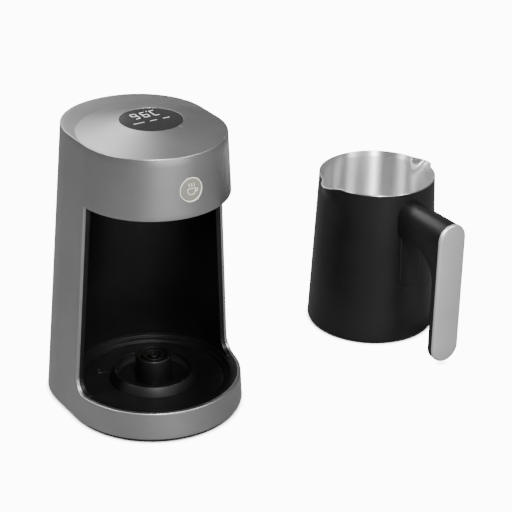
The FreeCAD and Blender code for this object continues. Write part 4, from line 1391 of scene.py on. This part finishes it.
# %% Screws
cover_low, cover_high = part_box("bottom_screws")
head_low, head_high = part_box("head_screws")
screw_radius = 2.7 * MM
cover_x = cover_high.x - machine_axis.x - screw_radius
screw_rows = (
    (cover_x, cover_low.y + screw_radius, cover_low.z), (cover_x, cover_high.y - screw_radius, cover_low.z),
    (38.0 * MM, head_low.y + screw_radius, head_low.z), (42.0 * MM, head_high.y - screw_radius, head_low.z),
)
first_turn = 0.4
next_turn = 0.9
screw_points = []
for hand in (1.0, -1.0):
    for x, y, z in screw_rows:
        turn = first_turn + next_turn * len(screw_points)
        screw_points.append((Vector((machine_axis.x + hand * x, y, z)), turn, 1.0))
grown("cover_screws", screw_tree, screw_points, "machine", screw_steel,
      stands_for=["bottom_screws", "head_screws"])

# %% Tree for the feet
foot_size = 6.0
foot_tree, entry, leave = geometry_tree("ribbed_feet", [
    ("Foot Radius", foot_size), ("Foot Height", 2.2), ("Chamfer", 0.6), ("Rib Radius", 0.35)])
waist = maths(foot_tree, "SUBTRACT", entry["Foot Height"], entry["Chamfer"])
tread = maths(foot_tree, "SUBTRACT", entry["Foot Radius"], entry["Chamfer"])
body_of_foot = node(foot_tree, "GeometryNodeMeshCylinder", {
    "Vertices": 48, "Radius": entry["Foot Radius"], "Depth": waist}, "Mesh", fill_type="NONE")
middle_of_foot = maths(foot_tree, "ADD", entry["Chamfer"], maths(foot_tree, "MULTIPLY", waist, 0.5))
edge_of_foot = node(foot_tree, "GeometryNodeMeshCone", {
    "Vertices": 48, "Radius Top": entry["Foot Radius"], "Radius Bottom": tread, "Depth": entry["Chamfer"]},
    "Mesh", fill_type="NONE")
foot_parts = [shifted(foot_tree, body_of_foot, middle_of_foot), edge_of_foot]
for radius, height in ((tread, 0.0), (entry["Foot Radius"], entry["Foot Height"])):
    cap_of_foot = node(foot_tree, "GeometryNodeMeshCircle", {"Vertices": 48, "Radius": radius}, "Mesh",
                       fill_type="NGON")
    foot_parts.append(shifted(foot_tree, cap_of_foot, height))
closed_foot = node(foot_tree, "GeometryNodeMergeByDistance", {
    "Geometry": joined(foot_tree, foot_parts), "Distance": 0.00001}, "Geometry")
rib_parts = [closed_foot]
rib_profile = node(foot_tree, "GeometryNodeCurvePrimitiveCircle", {
    "Resolution": 8, "Radius": entry["Rib Radius"]}, "Curve")
for share in (0.35, 0.65):
    rib_path = node(foot_tree, "GeometryNodeCurvePrimitiveCircle", {
        "Resolution": 40, "Radius": maths(foot_tree, "MULTIPLY", entry["Foot Radius"], share)}, "Curve")
    rib = node(foot_tree, "GeometryNodeCurveToMesh", {
        "Curve": rib_path, "Profile Curve": rib_profile}, "Mesh")
    rib_parts.append(shifted(foot_tree, rib, entry["Rib Radius"]))
on_points(foot_tree, entry, leave, joined(foot_tree, rib_parts))

# %% Feet
feet_low, feet_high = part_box("rubber_feet")
foot_flare = 0.12
foot_inset = 5.7
back_half = feet_high.x - machine_axis.x - foot_size * MM
front_half = (foot_radius / MM + foot_flare - foot_size - foot_inset) * math.sqrt(0.5) * MM
foot_points = []
for hand in (1.0, -1.0):
    for x, y in ((back_half, feet_high.y - foot_size * MM), (front_half, feet_low.y + foot_size * MM)):
        foot_points.append((Vector((machine_axis.x + hand * x, y, 0.0)), 0.0, 1.0))
grown("ribbed_feet", foot_tree, foot_points, "machine", feet_rubber,
      stands_for=["rubber_feet"])

# %% [markdown]
# ## Finishes for the pieces that stay as they came from the frame
# Boards, screws, leads and the parts under the jug keep their shape from the CAD model. Each gets the
# finish of its material slot.

# %% Finishes of the carried-over nodes
finish_of_slot = {
    "grey_housing": housing_paint, "display_glass": window_glass, "black_plastic": liner_black,
    "circuit_board": board_green, "screw_steel": screw_steel, "contact_brass": contact_brass,
    "black_rubber": feet_rubber, "warm_white": ring_white, "button_face": button_olive,
    "jug_steel": brushed_steel, "jug_black": satin_black, "heater_aluminium": plate_aluminium,
    "silver_plate": satin_silver,
}
for subpart in frame["record"]["subparts"]:
    made = frame["nodes"][subpart["node"]]
    if not made.data.materials:
        made.data.materials.append(None)
    for index in range(len(made.data.materials)):
        made.data.materials[index] = finish_of_slot[subpart["material_slot"]]

# %% [markdown]
# ## Floor and light
# The photograph is a studio picture on white, but the surroundings that the metal mirrors were darker
# than the paper. So the floor and the world are white where they are looked at, and a calm grey where
# a surface mirrors them. Close under the products the floor's white is darkened by an ambient-occlusion
# mask, a painted contact shadow. Softboxes draw the bright shapes: three high ones for the stripes in
# the steel and the cut edges, one low in front for the soft band on the housing's round front, one high
# behind for the cone, and one low behind that is hardly seen.

# %% Floor and world
white_seen = 12.0
world_light = 0.24
floor_half = 6.0
floor_drop = 0.5 * MM
painted_shadow_reach = 5.0 * MM
painted_shadow_level = 0.02


def seen_or_mirrored(tree, seen, mirrored, output):
    """White for what is looked at directly, another shader for light and reflections."""
    direct = node(tree, "ShaderNodeLightPath", {}, "Is Camera Ray")
    mix = node(tree, "ShaderNodeMixShader", {"Fac": direct, 1: mirrored, 2: seen}, "Shader")
    tree.links.new(mix, output)


floor_shape = bmesh.new()
bmesh.ops.create_grid(floor_shape, x_segments=2, y_segments=2, size=floor_half)
floor = loose_object("floor", floor_shape)
floor.location = (0.0, 0.0, -floor_drop)
floor_finish = finish("pale_floor", grey(0.165), grey(0.18), 0.6, 0.7, 40.0, 0.05)
floor_tree = floor_finish.node_tree
# Painted contact shadow: the ambient-occlusion mask darkens the floor's white emission close under the
# products.
painted_contact_shadow = node(floor_tree, "ShaderNodeAmbientOcclusion", {"Distance": painted_shadow_reach}, "AO")
floor_white = node(floor_tree, "ShaderNodeEmission", {
    "Strength": spread(floor_tree, painted_contact_shadow, 0.3, 0.8, painted_shadow_level, white_seen)}, "Emission")
seen_or_mirrored(floor_tree, floor_white, floor_tree.nodes["Principled BSDF"].outputs["BSDF"],
                 floor_tree.nodes["Material Output"].inputs["Surface"])
floor.data.materials.append(floor_finish)

world = bpy.data.worlds.new("pale_world")
world.use_nodes = True
world_tree = world.node_tree
world_grey = world_tree.nodes["Background"]
filled(world_tree, world_grey, {"Color": (1.0, 1.0, 1.0, 1.0), "Strength": world_light})
world_white = node(world_tree, "ShaderNodeBackground", {"Strength": white_seen}, "Background")
seen_or_mirrored(world_tree, world_white, world_grey.outputs["Background"],
                 world_tree.nodes["World Output"].inputs["Surface"])
bpy.context.scene.world = world

# %% Softboxes
aimed_at = Vector((0.0, 0.0, 0.1))


def softbox(name, side, height, distance, size, radiance):
    """side is the angle round the upright axis (0 towards +X), height the angle over the floor."""
    side = math.radians(side)
    height = math.radians(height)
    level = math.cos(height)
    direction = Vector((math.cos(side) * level, math.sin(side) * level, math.sin(height)))
    data = bpy.data.lights.new(name, "AREA")
    data.shape = "RECTANGLE"
    data.size = size[0]
    data.size_y = size[1]
    data.energy = radiance * math.pi * size[0] * size[1]
    made = linked(name, data)
    made.location = direction * distance + aimed_at
    made.rotation_euler = (-direction).to_track_quat("-Z", "Y").to_euler()
    made.visible_camera = False


softbox("steel_front", -114.0, 45.0, 1.5, (0.18, 0.5), 120.0)
softbox("steel_right", -57.0, 45.0, 1.5, (0.16, 0.5), 42.0)
softbox("steel_left", 172.0, 45.0, 1.5, (0.16, 0.5), 42.0)
softbox("front_low", -96.0, 4.0, 1.6, (1.4, 0.7), 2.7)
softbox("behind", 102.0, 46.0, 1.5, (1.1, 0.8), 3.9)
softbox("low_behind", 86.0, 21.0, 1.6, (0.9, 0.5), 0.8)
print("lights", len(bpy.data.lights))
